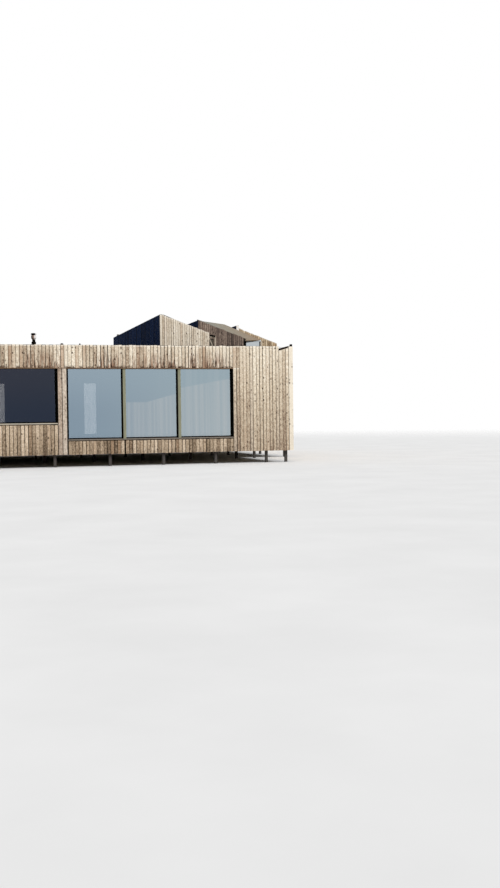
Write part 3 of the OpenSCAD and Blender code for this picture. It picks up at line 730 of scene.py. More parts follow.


# Mirror glass: a colour at each corner of a run of panes, which paints in the reflections seen in it, seen
# through as far as its outer face lets it
def glassFinish(name, node, side, runs, share, streaks=0.0, slit=0.0, closedFrom=None, paleZone=None):
    material, wire, place = newMaterial(name)
    x, y, z = place.parts()
    colour = None
    for start, end, tones in runs:
        topTone, footTone = (wire.node("ShaderNodeMix", {"data_type": "RGBA"}, {
            "Factor": x.rise(start, end), "A": paint(*left), "B": paint(*right)}, "Result")
            for left, right in (tones[:2], tones[2:]))
        tone = footTone.mixed(z.rise(1.6, 3.3), topTone)
        colour = colour.mixed(x > start - 0.2, tone) if colour else tone
    streak = noise(place, (4, 0, 0.12), 2).rise(0.35, 0.65) * x.rise(4.4, 5.6) * streaks
    colour = colour.mixed(streak, paint(205, 210, 212))
    # A paler zone below a sloping upper edge, with upright streaks
    if paleZone:
        edge = (x - paleZone["start"]).calc("MAXIMUM", 0.0) * paleZone["slope"] + paleZone["level"]
        nextEdge = (x - paleZone["next"]) * paleZone["nextSlope"] + paleZone["nextLevel"]
        edge = edge + (x > paleZone["next"]) * (nextEdge - edge)
        bands = noise(place, (8, 0, 0.1), 2).rise(0.3, 0.7)
        below = (edge - z).rise(0.0, 0.05) * (x > paleZone["from"]) * (bands * 0.28 + 0.18)
        colour = colour.mixed(below, paint(196, 200, 202))
    through = noise(place, (9, 0, 0.15), 2).rise(0.3, 0.7) * slit + share
    if closedFrom is not None:
        through = (through + (x > closedFrom)).calc("MINIMUM", 1.0)
    centre = (low(node).y + high(node).y) / 2
    outer = (y < centre) if side == "front" else (y > centre)
    wave = bump(noise(place, (0.7, 0.7, 0.5), 1), 0.02, 0.01)
    return finishMaterial(material, colour, 0.03, wave, Metallic=1.0, Alpha=outer * through)


# Mitred posts between the panes, their sides painted black as shade
def finTimber():
    material, wire, place = newMaterial("finTimber")
    side = wire.node("ShaderNodeNewGeometry", out="Normal").part("X").calc("ABSOLUTE") > 0.5
    grain = noise(place, (90, 90, 2.4), 4, 0.6)
    colour = grain.ramp(shades((0.25, 107, 108, 87), (0.75, 148, 147, 126)))
    # Painted shade: every side of a post is black, as its shaded side looks
    colour = colour.mixed(side, paint(14, 13, 9))
    return finishMaterial(material, colour, 0.75, bump(grain, 0.3, 0.002), 0.1)


# Colours of the panes at their upper left, upper right, lower left and lower right, painted reflections: the
# sky's pale blue-grey in the wide panes, a dark view in the middle one
wideTones = (154, 172, 185), (161, 179, 188), (141, 160, 175), (164, 180, 188)
middleTones = (59, 61, 73), (57, 61, 72), (49, 57, 71), (47, 54, 69)
# Paler zone with upright streaks in the right wide window, with the levels and slopes of its upper edge
paneZone = {"from": 3.45, "start": 4.2, "level": 2.16, "slope": 0.27,
             "next": 5.35, "nextLevel": 2.63, "nextSlope": 0.18}
paneRuns = [(opening["left"], opening["right"], wideTones if opening["panes"] == 3 else middleTones)
            for opening in openings]
wholeWidth = house["left"], house["right"]
capEnds = low("flue_cap").x, high("flue_cap").x
finishes = {
    "wallBacking": wallBacking(),
    "finTimber": finTimber(),
    "frontGlass": glassFinish("frontGlass", "front_glass", "front", paneRuns, 0.86, streaks=0.10,
                              paleZone=paneZone),
    "backGlass": glassFinish("backGlass", "back_glass", "back", [(*wholeWidth, [(240, 246, 246)] * 4)],
                             0.04, slit=0.35, closedFrom=backStarts[-1] - 0.5),
    "monitorGlass": glassFinish("monitorGlass", "monitor_3_glass", "front",
                                [(*wholeWidth, [(190, 196, 199)] * 4)], 0.94),
    # Painted shade: the sill noses are pale at the left and darker towards the right wide window
    "sillNose": sideTone("sillNose", openings[1]["right"], openings[2]["left"],
                         [(0.2, 196, 186, 170), (0.8, 128, 118, 108)], 0.6, 0.1),
    "canopyPlate": sideTone("canopyPlate", canopyStart.x, canopyFar.x, [
        (0.1, 141, 140, 130), (0.45, 147, 139, 124), (0.9, 149, 131, 112)], 0.9, 0.1),
    # Painted light on the cowl: shade at its left, brown in the middle, a painted highlight at its right
    "flueSteel": sideTone("flueSteel", *capEnds, [
        (0.05, 22, 18, 17), (0.22, 138, 116, 104), (0.50, 170, 148, 134), (0.61, 236, 232, 230)],
        0.45, 0.2),
    # Painted light on the lid: dark, with a painted highlight at its right
    "flueLid": sideTone("flueLid", *capEnds, [(0.70, 12, 12, 14), (0.80, 220, 216, 214)], 0.6, 0.05),
}
flatLooks = {
    "windowFrame": dict(colour=(14, 14, 10), darker=(8, 8, 6), scale=6, roughness=0.7, specular=0.0),
    "sillMetal": dict(colour=(204, 192, 174), darker=(170, 157, 138), scale=5, roughness=0.5, metallic=0.1),
    "roofFelt": dict(colour=(122, 119, 112), darker=(92, 90, 85), scale=2.5, roughness=0.9, grain=0.6,
                     depth=0.002),
    "roofLap": dict(colour=(98, 95, 90), darker=(76, 74, 70), scale=4, roughness=0.85, grain=0.6,
                    depth=0.002),
    "canopyFelt": dict(colour=(176, 166, 148), darker=(154, 144, 127), scale=2.5, roughness=0.85, grain=0.5,
                       depth=0.002),
    "floorBoards": dict(colour=(186, 170, 142), darker=(160, 144, 118), scale=3, roughness=0.6),
    "structureTimber": dict(colour=(84, 80, 76), darker=(60, 57, 54), scale=8, roughness=0.9, specular=0.1),
    "darkMetal": dict(colour=(22, 20, 17), darker=(12, 11, 9), scale=6, roughness=0.7, specular=0.02),
    "cheekMetal": dict(colour=(122, 114, 102), darker=(20, 18, 15), scale=11, roughness=0.8, specular=0.05),
    "brownMetal": dict(colour=(40, 27, 16), darker=(26, 17, 10), scale=6, roughness=0.7, specular=0.02),
    "cappingMetal": dict(colour=(124, 121, 114), darker=(102, 99, 93), scale=3, roughness=0.75,
                         specular=0.12),
    "whiteMetal": dict(colour=(248, 248, 246), darker=(238, 238, 236), scale=3, roughness=0.5),
    "ventPlastic": dict(colour=(56, 56, 54), darker=(40, 40, 39), scale=9, roughness=0.5),
    "upperPane": dict(colour=(194, 200, 202), darker=(188, 194, 197), scale=1, roughness=0.06, metallic=1.0,
                      grain=0.02),
    "edgeTrim": dict(colour=(114, 94, 72), darker=(86, 70, 54), scale=7, roughness=0.8, specular=0.1),
    "headBoard": dict(colour=(150, 122, 96), darker=(112, 88, 68), scale=7, roughness=0.8, specular=0.2),
    "lampLens": dict(colour=(226, 226, 220), darker=(206, 206, 200), scale=20, roughness=0.25),
    "nailHead": dict(colour=(74, 66, 60), darker=(52, 46, 42), scale=30, roughness=0.6, metallic=0.5),
}
finishes.update({name: flatFinish(name, **look) for name, look in flatLooks.items()})
nodeFinishes = {  # all other nodes stand behind the boards
    "structureTimber": ["piles_outer", "piles_inner", "floor_bearers"],
    "floorBoards": ["floor_deck", "wing_floor"],
    "sillMetal": ["front_sills"],
    "windowFrame": ["front_window_frames", "back_window_frames"],
    "finTimber": ["front_fins"],
    "frontGlass": ["front_glass"], "backGlass": ["back_glass"], "monitorGlass": ["monitor_3_glass"],
    "roofFelt": ["roof_deck_left", "roof_deck_right"],
    "canopyFelt": ["monitor_1_roof", "monitor_2_roof", "monitor_3_roof", "canopy_roof"],
    "darkMetal": ["canopy_post", "end_flashing", "corner_lamp", "rainwater_pipe"],
    "flueSteel": ["flue_pipe", "flue_cap"],
    "ventPlastic": ["roof_vents"],
}
for name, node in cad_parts.items():
    finish = next((finish for finish, names in nodeFinishes.items() if name in names), "wallBacking")
    for materialSlot in node.material_slots:
        materialSlot.material = finishes[finish]
print("frame: finishes given")

# Two nails across each wide board, in rows up the wall
nailSizes = {"rowGap": 0.62, "inset": 0.07, "out": 0.0168, "leastHeight": 0.2}
studField = studTree()
nailMeshes = []
for row in boardRows:
    height = row["top"] - row["foot"] - 2 * nailSizes["inset"]
    if not row["wide"] or height < nailSizes["leastHeight"]:
        continue
    boards = max(1, round(row["length"] / boardSizes["Pitch"]))
    levels = max(2, round(height / nailSizes["rowGap"]) + 1)
    step = row["length"] / boards / 2
    mesh = treeMesh(studField, {"Across Count": 2 * boards, "Across Step": step, "Up Count": levels,
                                "Up Step": height / (levels - 1), "Seed": len(nailMeshes),
                                "Finish": finishes["nailHead"]})
    mesh.transform(Matrix.Translation((step / 2, -nailSizes["out"], row["foot"] + nailSizes["inset"])))
    nailMeshes.append(placed(mesh, *row["place"]))
nailPiece = addPiece("board_nails", nailMeshes)
print("boards: nailed,", len(nailPiece.data.polygons), "faces")


# A piece from the closed solids that fill adds to an empty mesh, smooth where it bends less than sharpFrom
def solidPiece(name, fill, finish, sharpFrom=0):
    shape = bmesh.new()
    fill(shape)
    bmesh.ops.recalc_face_normals(shape, faces=shape.faces)
    mesh = bpy.data.meshes.new(name)
    shape.to_mesh(mesh)
    shape.free()
    if sharpFrom:
        mesh.polygons.foreach_set("use_smooth", [True] * len(mesh.polygons))
        mesh.set_sharp_from_angle(angle=math.radians(sharpFrom))
    return addPiece(name, mesh, finish)


def addBar(shape, least, most, edge=0.003):
    size, centre = Vector(most) - Vector(least), (Vector(least) + Vector(most)) / 2
    place = Matrix.Translation(centre) @ Matrix.Diagonal((*size, 1))
    made = bmesh.ops.create_cube(shape, size=1, matrix=place)
    if edge:
        edges = {line for vertex in made["verts"] for line in vertex.link_edges}
        bmesh.ops.bevel(shape, geom=list(edges), offset=edge, segments=1, affect="EDGES")


def ringOf(shape, spots):
    return [shape.verts.new(spot) for spot in spots]


def joinRings(shape, rings, closed=False):
    for lower, upper in list(zip(rings, rings[1:])) + ([(rings[-1], rings[0])] if closed else []):
        count = max(len(lower), len(upper))
        for index in range(count):
            after = (index + 1) % count
            corners = [lower[index % len(lower)], lower[after % len(lower)],
                       upper[after % len(upper)], upper[index % len(upper)]]
            shape.faces.new(list(dict.fromkeys(corners)))
    for ring in () if closed else (rings[0], rings[-1]):
        if len(ring) > 2:
            shape.faces.new(ring)


# Outline of (out, up) points along a path, mitred in plan; out is to the right of the way the path runs
def addSweep(shape, path, outline, closed=False):
    path = [Vector(spot) for spot in path]
    rings = []
    for index, spot in enumerate(path):
        ends = [(path[index - 1], spot)] if closed or index else []
        if closed or index < len(path) - 1:
            ends.append((spot, path[(index + 1) % len(path)]))
        runs = [(second - first).to_2d().normalized() for first, second in ends]
        side = sum((Vector((run.y, -run.x)) for run in runs), Vector((0, 0))) / len(runs)
        side /= side.length_squared
        rings.append(ringOf(shape, [(*(spot.to_2d() + side * out), spot.z + up) for out, up in outline]))
    joinRings(shape, rings, closed)


def circleOf(radius, count):
    turns = [2 * math.pi * step / count for step in range(count)]
    return [(radius * math.cos(turn), radius * math.sin(turn)) for turn in turns]


# Outline of (radius, height) points turned round an upright axis
def addLathe(shape, centre, outline, segments=32):
    rings = []
    for radius, level in outline:
        circle = circleOf(radius, segments if radius else 1)
        rings.append(ringOf(shape, [Vector(centre) + Vector((x, y, level)) for x, y in circle]))
    joinRings(shape, rings)


def addTube(shape, path, radius, segments=16):
    path = [Vector(spot) for spot in path]
    side, rings = Vector((0, 1, 0)), []
    for index, spot in enumerate(path):
        run = (path[min(index + 1, len(path) - 1)] - path[max(index - 1, 0)]).normalized()
        side = (side - run * side.dot(run)).normalized()
        other = run.cross(side)
        rings.append(ringOf(shape, [spot + x * side + y * other for x, y in circleOf(radius, segments)]))
    joinRings(shape, rings)


# Path through corner points, with its bends rounded
def rounded(corners, radius, steps=6):
    corners = [Vector(corner) for corner in corners]
    path = [corners[0]]
    for before, corner, after in zip(corners, corners[1:], corners[2:]):
        start, end = (corner + (other - corner).normalized() * radius for other in (before, after))
        for share in (step / steps for step in range(steps + 1)):
            path.append(start.lerp(corner, share).lerp(corner.lerp(end, share), share))
    return path + [corners[-1]]


# Metal along the tops of the outer walls, with a cover over each joint
capping = {"height": 0.006, "lip": 0.07, "sheet": 0.004, "tilt": 0.004, "joint": 2.0, "jointWidth": 0.06,
           "coverLip": 0.06}
wallDepth, wallTop, cornerX = house["wall"], house["parapet"], house["frontRight"]
wallPath = [Vector((x, y, wallTop)) for x, y in (
    (cornerX, front + wallDepth), (cornerX, house["wingFront"]), (house["right"], house["wingFront"]),
    (house["right"], house["back"]), (house["left"], house["back"]), (house["left"], front),
    (notch["start"], front))]


def cappingOutline(depth, lip):
    height, outer = capping["height"], -depth - capping["sheet"]
    return [(0, 0), (0, height), (outer, height + capping["tilt"]), (outer, -lip), (-depth, -lip),
            (-depth, 0)]


def fillCappings(shape):
    addSweep(shape, wallPath, cappingOutline(wallDepth, capping["lip"]))
    within, lip = -wallDepth - 0.002, capping["coverLip"]
    outline = [(0, 0.004), (0, 0.010), (within - 0.004, 0.013), (within - 0.004, -lip), (within, -lip),
               (within, 0.008)]
    for first, second in zip(wallPath, wallPath[1:]):
        run = (second - first).normalized()
        half = run * capping["jointWidth"] / 2
        for step in range(1, int((second - first).length / capping["joint"])):
            spot = first + run * capping["joint"] * step
            addSweep(shape, [spot - half, spot + half], outline)


solidPiece("wall_cappings", fillCappings, finishes["cappingMetal"])

# Felt up the parapets' inner faces, and the laps of the roof's felt
roofEdge = {"rise": 0.2, "fillet": 0.07, "sheet": 0.006, "foot": 0.1, "footSheet": 0.003}
roofLap = {"width": 0.08, "pitch": 1.0, "height": 0.004, "sunk": 0.002, "beside": 0.1, "before": 0.03,
           "roofEnd": 0.3, "monitorEnd": 0.4}
inner = {"left": low("roof_deck_left").x, "right": high("roof_deck_right").x,
         "front": low("roof_deck_left").y, "back": high("roof_deck_left").y,
         "mainRight": low("right_wall").x, "wing": high("wing_front_wall").y}


def fillRoofEdges(shape):
    sheet, fillet, rise, footSheet = (roofEdge[name] for name in ("sheet", "fillet", "rise", "footSheet"))
    spots = [("left", "front"), ("mainRight", "front"), ("mainRight", "wing"), ("right", "wing"),
             ("right", "back"), ("left", "back")]
    end = -fillet - roofEdge["foot"]
    outline = [(0, 0), (0, rise), (-sheet, rise), (-sheet, fillet), (-fillet, sheet), (end, footSheet),
               (end, 0)]
    addSweep(shape, [(inner[x], inner[y], roof) for x, y in spots], outline, closed=True)


def fillRoofLaps(shape):
    width, pitch, height, sunk = (roofLap[name] for name in ("width", "pitch", "height", "sunk"))
    x = inner["left"] + pitch
    while x < inner["mainRight"] - roofLap["roofEnd"]:
        blocker = [monitor for monitor in monitors
                   if monitor["left"] - roofLap["beside"] < x < monitor["right"] + roofLap["beside"]]
        end = blocker[0]["front"] - roofLap["before"] if blocker else inner["back"]
        addBar(shape, (x, inner["front"], roof - sunk), (x + width, end, roof + height), 0.001)
        x += pitch
    outline = [(0, -sunk), (width, -sunk), (width, height), (0, height)]
    for monitor in monitors:
        ends = [(x, monitorTop(monitor, x) - feltDrop)
                for x in (monitor["left"] + monitor["wall"], monitor["right"])]
        y = monitor["front"] + monitor["wall"] + pitch
        while y < monitor["back"] - roofLap["monitorEnd"]:
            joinRings(shape, [ringOf(shape, [(x, y + along, level + up) for along, up in outline])
                              for x, level in ends])
            y += pitch


solidPiece("roof_edge_felt", fillRoofEdges, finishes["roofLap"])
solidPiece("roof_laps", fillRoofLaps, finishes["roofLap"])

# Cappings on the monitors' walls
monitorCapping = {"lip": 0.095, "upstandLip": 0.08}


def fillMonitorCappings(shape):
    for monitor in monitors:
        left, right, near, back = (monitor[name] for name in ("left", "right", "front", "back"))
        eave, peak = monitorTop(monitor, right), monitor["top"]
        outline = cappingOutline(monitor["wall"], monitorCapping["lip"])
        behind, ahead = [(right, back, eave), (left, back, peak)], [(left, near, peak), (right, near, eave)]
        if monitor is not monitors[2]:
            addSweep(shape, behind + ahead, outline)
            continue
        start, top = left + upstand["width"], upstand["top"]
        addSweep(shape, behind, outline)
        addSweep(shape, [(start, near, monitorTop(monitor, start)), ahead[1]], outline)
        addSweep(shape, [(left, high("monitor_3_side").y, top), (left, near, top)],
                 cappingOutline(upstand["width"], monitorCapping["upstandLip"]))


solidPiece("monitor_cappings", fillMonitorCappings, finishes["cappingMetal"])

# Solid ends that carry the high sides' slats over the back wall
sideEnd = {"above": 0.012, "below": 0.004, "in": 0.01}


def fillSideEnds(shape):
    for monitor in monitors:
        left, back = monitor["left"], monitor["back"]
        addBar(shape, (left, back - sideEnd["in"], wallTop + sideEnd["above"]),
               (left + monitor["wall"], back + slatRow["sideRunOn"], monitor["top"] - sideEnd["below"]), 0.004)


solidPiece("monitor_side_ends", fillSideEnds, boardMaterials["stainedSkyShade"])

# Gutters along the monitors' low eaves
gutter = {"width": 0.072, "depth": 0.075, "sheet": 0.004, "bead": 0.006, "below": 0.012,
          "strap": 0.9, "strapWidth": 0.025, "strapHalf": 0.002}


def fillGutters(shape):
    wide, deep, sheet, lip = (gutter[name] for name in ("width", "depth", "sheet", "bead"))
    outline = [(0, 0), (0, -deep), (wide, -deep), (wide, -lip), (wide + sheet, -lip), (wide + sheet, 0),
               (wide - sheet, 0), (wide - sheet, -deep + sheet), (sheet, -deep + sheet), (sheet, 0)]
    starts = [monitors[0]["front"] + monitors[0]["wall"], high("canopy_post").y, monitors[2]["front"]]
    for monitor, start in zip(monitors, starts):
        right, back, half = monitor["right"], monitor["back"], gutter["strapHalf"]
        rim = monitorTop(monitor, right) - feltDrop - gutter["below"]
        addSweep(shape, [(right, start, rim), (right, back, rim)], outline)
        for end in (start, back - sheet):
            addBar(shape, (right, end, rim - deep), (right + wide, end + sheet, rim), 0)
        y = start + gutter["strap"] / 2
        while y < back:
            addBar(shape, (right, y, rim - half), (right + wide, y + gutter["strapWidth"], rim + half), 0)
            y += gutter["strap"]


solidPiece("monitor_gutters", fillGutters, finishes["darkMetal"])
print("roof: felt, cappings and gutters laid")

# Sill noses under the front windows and the back windows
sillNose = {"out": 0.030, "lip": 0.020, "sheet": 0.003, "back": 0.10, "rise": 0.012, "drop": 0.004,
            "gap": 0.002}


def fillSills(shape):
    out, lip, sheet, back = (sillNose[name] for name in ("out", "lip", "sheet", "back"))
    rise, drop, gap = (sillNose[name] for name in ("rise", "drop", "gap"))
    outline = [(-back, rise), (out, -drop), (out, -drop - lip), (out - sheet, -drop - lip),
               (out - sheet, -drop - sheet * 1.4), (-back, rise - sheet)]
    for opening in openings:
        addSweep(shape, [(opening["left"] + gap, front, opening["sill"]),
                         (opening["right"] - gap, front, opening["sill"])], outline)
    for left, right in backOpenings:
        addSweep(shape, [(x, house["back"], house["floor"]) for x in (right - gap, left + gap)], outline)


solidPiece("sill_noses", fillSills, finishes["sillNose"])

# Dark beads round each pane; the wider bead at each pane's right end is painted shade beside a fin, and beside
# the jamb at a window's last pane
bead = {"member": 0.04, "wide": 0.052, "jamb": 0.030, "slim": 0.010, "out": 0.006, "lap": 0.005,
        "glassGap": 0.001}


def fillBeads(shape):
    near, back = low("front_window_frames").y - bead["out"], low("front_glass").y - bead["glassGap"]
    lap, slim, top = bead["lap"], bead["slim"], head - bead["member"]
    for opening in openings:
        pitch = (opening["right"] - opening["left"]) / opening["panes"]
        foot = opening["sill"] + bead["member"]
        for pane in range(opening["panes"]):
            left = opening["left"] + pane * pitch + bead["member"]
            right = opening["left"] + (pane + 1) * pitch - bead["member"]
            width = bead["jamb"] if pane == opening["panes"] - 1 else bead["wide"]
            addBar(shape, (right - width, near, foot), (right + lap, back, top), 0.004)
            addBar(shape, (left - lap, near, foot), (left + slim, back, top))
            addBar(shape, (left, near, foot - lap), (right, back, foot + slim))


solidPiece("glazing_beads", fillBeads, finishes["windowFrame"])

# Glass carried over the left frame member of each window
paneEdge = {"start": 0.030, "end": 0.053, "out": 0.010, "frameGap": 0.001}


def fillPaneEdges(shape):
    near = low("front_window_frames").y
    for opening in openings:
        left, foot = opening["left"], opening["sill"] + bead["member"]
        addBar(shape, (left + paneEdge["start"], near - paneEdge["out"], foot),
               (left + paneEdge["end"], near - paneEdge["frameGap"], head - bead["member"]), 0.001)


solidPiece("pane_edges", fillPaneEdges, finishes["frontGlass"])

# Boards along the window heads, under the parapets' boards
headBoard = {"height": 0.022, "out": 0.036, "in": 0.01, "below": 0.006}


def fillHeads(shape):
    height, out, within = (headBoard[name] for name in ("height", "out", "in"))
    top, backTop, back = head - headBoard["below"], backWindows["head"] - headBoard["below"], house["back"]
    addBar(shape, (openings[0]["left"], front - out, top - height),
           (openings[2]["right"], front + within, top), 0.004)
    for left, right in backOpenings:
        addBar(shape, (left, back - within, backTop - height), (right, back + out, backTop), 0.004)


solidPiece("head_boards", fillHeads, finishes["headBoard"])

# Dark lip along the notch of the right end wall, and the bright sheet behind the notch
notchLip = {"out": 0.028, "below": 0.028, "above": 0.036, "share": 0.80}
notchSheet = {"sheet": 0.006, "left": 0.004, "below": 0.02, "above": 0.009}


def fillNotchLip(shape):
    foot = Vector((notch["start"], front, wallTop - notch["drop"]))
    end = foot.lerp(Vector((notch["end"], front, wallTop)), notchLip["share"])
    below, above, out = (notchLip[name] for name in ("below", "above", "out"))
    addSweep(shape, [foot, end], [(0, -below), (out, -below), (out, above), (0, above)])


def fillNotchSheet(shape):
    line = front + wallDepth
    addBar(shape, (inner["mainRight"] - notchSheet["left"], line - notchSheet["sheet"],
                   wallTop - notch["drop"] - notchSheet["below"]),
           (cornerX, line, wallTop + notchSheet["above"]), 0.001)


solidPiece("notch_lip", fillNotchLip, finishes["brownMetal"])
solidPiece("notch_sheet", fillNotchSheet, finishes["whiteMetal"])

# Frame round the pane in the third monitor's front
paneFrame = {"member": 0.035, "right": 0.06, "out": 0.03, "in": 0.055, "over": 0.01}


def fillPaneFrame(shape):
    line, member, over = monitors[2]["front"], paneFrame["member"], paneFrame["over"]
    near, back = line - paneFrame["out"], line + paneFrame["in"]
    for left, foot, right, top in (
            (paneLow.x - over, paneLow.z, paneLow.x + member, paneHigh.z),
            (paneHigh.x - paneFrame["right"], paneLow.z, paneHigh.x + over, paneHigh.z),
            (paneLow.x, paneLow.z - over, paneHigh.x, paneLow.z + member)):
        addBar(shape, (left, near, foot), (right, back, top), 0.004)


solidPiece("monitor_window_frame", fillPaneFrame, finishes["sillMetal"])

# Lower line of the canopy's free edge, from its near end to its far end
canopyLips = [Vector((*canopyNear, canopyTop(canopyNear) - canopy["nearEdge"])),
              Vector((*canopyFar, canopyTop(canopyFar) + canopy["farLift"] - canopy["farEdge"]))]
canopyInset = canopy["chamfer"] / canopyRun.y


# The canopy's plate: its underside is cut back along the free edge, which thins out towards its far end
def fillCanopyPlate(shape):
    inset = Vector((canopyInset, 0))
    plan = [canopyStart, canopyNear, canopyFar, canopyCorner, ridgeEnd]
    underPlan = [canopyStart, canopyNear - inset, canopyFar - inset, canopyCorner, ridgeEnd]
    tops = ringOf(shape, [(*spot, canopyTop(spot)) for spot in plan])
    unders = ringOf(shape, [(*spot, canopyUnder(spot)) for spot in underPlan])
    lips = ringOf(shape, canopyLips)
    tops[2].co.z += canopy["farLift"]
    tops[3].co.z += canopy["cornerLift"]
    for corners in (tops[0:3], [tops[0], *tops[2:4]], [tops[0], *tops[3:5]], unders,
                    [*lips, unders[2], unders[1]], [*tops[1:3], lips[1], lips[0]],
                    [*tops[0:2], lips[0], unders[1], unders[0]],
                    [*tops[2:4], unders[3], unders[2], lips[1]],
                    [*tops[3:5], unders[4], unders[3]], [tops[4], tops[0], unders[0], unders[4]]):
        shape.faces.new(corners)


# Felt wedge over the second monitor's front wall, from its edge up to the plate
def fillCanopyApron(shape):
    near, back = monitors[1]["front"], canopyStart.y
    rings = []
    for x in (monitors[1]["left"], canopyNear.x):
        foot = monitorTop(monitors[1], x)
        tops = [(x, y, canopyTop(Vector((x, y)))) for y in (near, back)]
        rings.append(ringOf(shape, [(x, near, foot), *tops, (x, back, foot)]))
    joinRings(shape, rings)


platePiece = solidPiece("canopy_plate", fillCanopyPlate, finishes["canopyPlate"])
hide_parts("canopy_roof")
solidPiece("canopy_apron", fillCanopyApron, finishes["canopyPlate"])

# Trim under the free edge, and the post below its corner
edgeTrim = {"height": 0.018, "in": 0.014, "out": 0.004}
post = {"wider": 0.022, "behind": 0.002}


def fillCanopyTrim(shape):
    height, within, out = (edgeTrim[name] for name in ("height", "in", "out"))
    addSweep(shape, canopyLips, [(-within, -height), (out, -height), (out, 0), (-within, 0)])


def fillPost(shape):
    least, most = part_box("canopy_post")
    near, right = least.y + post["behind"], most.x + post["wider"]
    plan = [Vector(spot) for spot in ((least.x, near), (right, near), (right, most.y), (least.x, most.y))]
    heads = []
    for spot in plan:
        share = max(0, (canopyNear - spot).dot(Vector((canopyRun.y, -canopyRun.x))) / canopy["chamfer"])
        heads.append((*spot, canopyLips[0].z * (1 - share) + canopyUnder(spot) * share))
    joinRings(shape, [ringOf(shape, [(*spot, least.z) for spot in plan]), ringOf(shape, heads)])


solidPiece("canopy_edge_trim", fillCanopyTrim, finishes["edgeTrim"])
postPiece = solidPiece("canopy_corner_post", fillPost, finishes["darkMetal"])
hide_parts("canopy_post")

# Upper pane on the third monitor's front, from its window up to the canopy
headPane = {"left": 0.2, "right": 0.02, "lap": 0.004, "faces": (-0.034, -0.002)}


def fillHeadPane(shape):
    line, left, right = monitors[2]["front"], paneLow.x - headPane["left"], canopyFar.x + headPane["right"]
    foot = paneHigh.z - headPane["lap"]
    heads = [(x, canopyUnder(Vector((x, line)))) for x in (canopyFar.x - canopyInset, left)]
    outline = [(left, foot), (right, foot), (right, canopyLips[1].z - headPane["lap"]), *heads]
    joinRings(shape, [ringOf(shape, [(x, line + out, z) for x, z in outline]) for out in headPane["faces"]])


solidPiece("monitor_head_pane", fillHeadPane, finishes["upperPane"])
print("front: sills, head boards and trims set")

# Hopper at the first monitor's low corner: a dark rim over a pale funnel, and its pipe down to the roof
hopperLow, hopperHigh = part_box("rainwater_pipe")
hopper = {"height": 0.11, "rim": 0.060, "wall": 0.006, "taper": 0.035, "tilt": 0.2, "rimLeft": 0.070,
          "rimRight": 0.035, "pipe": 0.0225, "collar": 0.004}
overflow = {"radius": 0.017, "collar": 0.005, "out": 0.05, "x": 0.125, "top": 0.135, "bend": 0.36,
            "bendRadius": 0.03}
cheek = {"width": 0.20, "below": 0.145, "front": 0.03, "back": 0.005}
collarHalf = 0.012


def boxRing(shape, least, most, inset, level):
    left, right, near, back = least.x + inset, most.x - inset, least.y + inset, most.y - inset
    plan = (left, near), (right, near), (right, back), (left, back)
    return ringOf(shape, [(x, y, level) for x, y in plan])


def addCollars(shape, x, y, levels, radius):
    for level in levels:
        addTube(shape, [(x, y, level - collarHalf), (x, y, level + collarHalf)], radius)


def addDownpipe(shape):
    x, y = hopperHigh.x - hopper["pipe"], (hopperLow.y + hopperHigh.y) / 2
    foot, base = hopperLow.z, hopperHigh.z - hopper["height"]
    addTube(shape, [(x, y, foot), (x, y, base + 0.01)], hopper["pipe"])
    addCollars(shape, x, y, (foot + 0.10, base - 0.18), hopper["pipe"] + hopper["collar"])
    addLathe(shape, (x, y, foot), [(0.075, 0), (0.075, 0.006), (0.03, 0.02), (0.027, 0.06)])


def addFunnel(shape):
    top, foot = hopperHigh.z - hopper["rim"], hopperHigh.z - hopper["height"]
    joinRings(shape, [boxRing(shape, hopperLow, hopperHigh, inset, level) for inset, level in (
        (0.004, top + 0.001), (0.010, top - 0.008), (hopper["taper"], foot))])


# Overflow from the eave, down in front of the pipe
def addOverflow(shape):
    x, y, foot = hopperLow.x + overflow["x"], hopperLow.y + overflow["out"], hopperLow.z
    mouth, bend = hopperHigh.z - overflow["top"], hopperHigh.z - overflow["bend"]
    path = [(hopperLow.x - 0.01, y, mouth + 0.02), (hopperLow.x + 0.02, y, mouth), (x, y, bend), (x, y, foot)]
    addTube(shape, rounded(path, overflow["bendRadius"]), overflow["radius"])
    addCollars(shape, x, y, (foot + 0.12, bend - 0.05), overflow["radius"] + overflow["collar"])


def fillRainPipe(shape):
    for add in (addDownpipe, addFunnel, addOverflow):
        add(shape)


# The rim follows the eave's fall
def fillHopperRim(shape):
    top, foot = hopperHigh.z, hopperHigh.z - hopper["rim"]
    least = hopperLow + Vector((hopper["rimLeft"], 0, 0))
    most = hopperHigh - Vector((hopper["rimRight"], 0, 0))
    rings = [boxRing(shape, least, most, inset, level) for inset, level in (
        (-0.002, foot), (-0.002, top), (hopper["wall"], top), (hopper["wall"], foot))]
    for vertex in sum(rings, []):
        vertex.co.z -= hopper["tilt"] * (vertex.co.x - least.x)
    joinRings(shape, rings, closed=True)


# Dark cheek behind the hopper that closes the valley between two monitors
def fillCheek(shape):
    addBar(shape, (hopperLow.x, hopperHigh.y - cheek["front"], hopperLow.z),
           (hopperLow.x + cheek["width"], hopperHigh.y - cheek["back"], hopperHigh.z - cheek["below"]), 0.002)


pipePiece = solidPiece("rain_pipe", fillRainPipe, finishes["sillMetal"], 35)
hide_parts("rainwater_pipe")
solidPiece("rain_hopper_rim", fillHopperRim, finishes["darkMetal"])
solidPiece("valley_cheek", fillCheek, finishes["cheekMetal"])

# Flue with storm collar, and its cowl under a lid on eight pins; cowl and lid carry painted shade at their
# left and a painted highlight at their right
flueFoot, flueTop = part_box("flue_pipe")
cowlFoot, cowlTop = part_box("flue_cap")
flueX, flueY = (flueFoot.x + flueTop.x) / 2, (flueFoot.y + flueTop.y) / 2
flue = {"sleeve": (flueTop.x - flueFoot.x) / 2, "neck": 0.055, "cowl": (cowlTop.x - cowlFoot.x) / 2,
        "lid": 0.085, "pins": 8, "pin": 0.004}
sleeve, neck, cowl, lid = (flue[name] for name in ("sleeve", "neck", "cowl", "lid"))


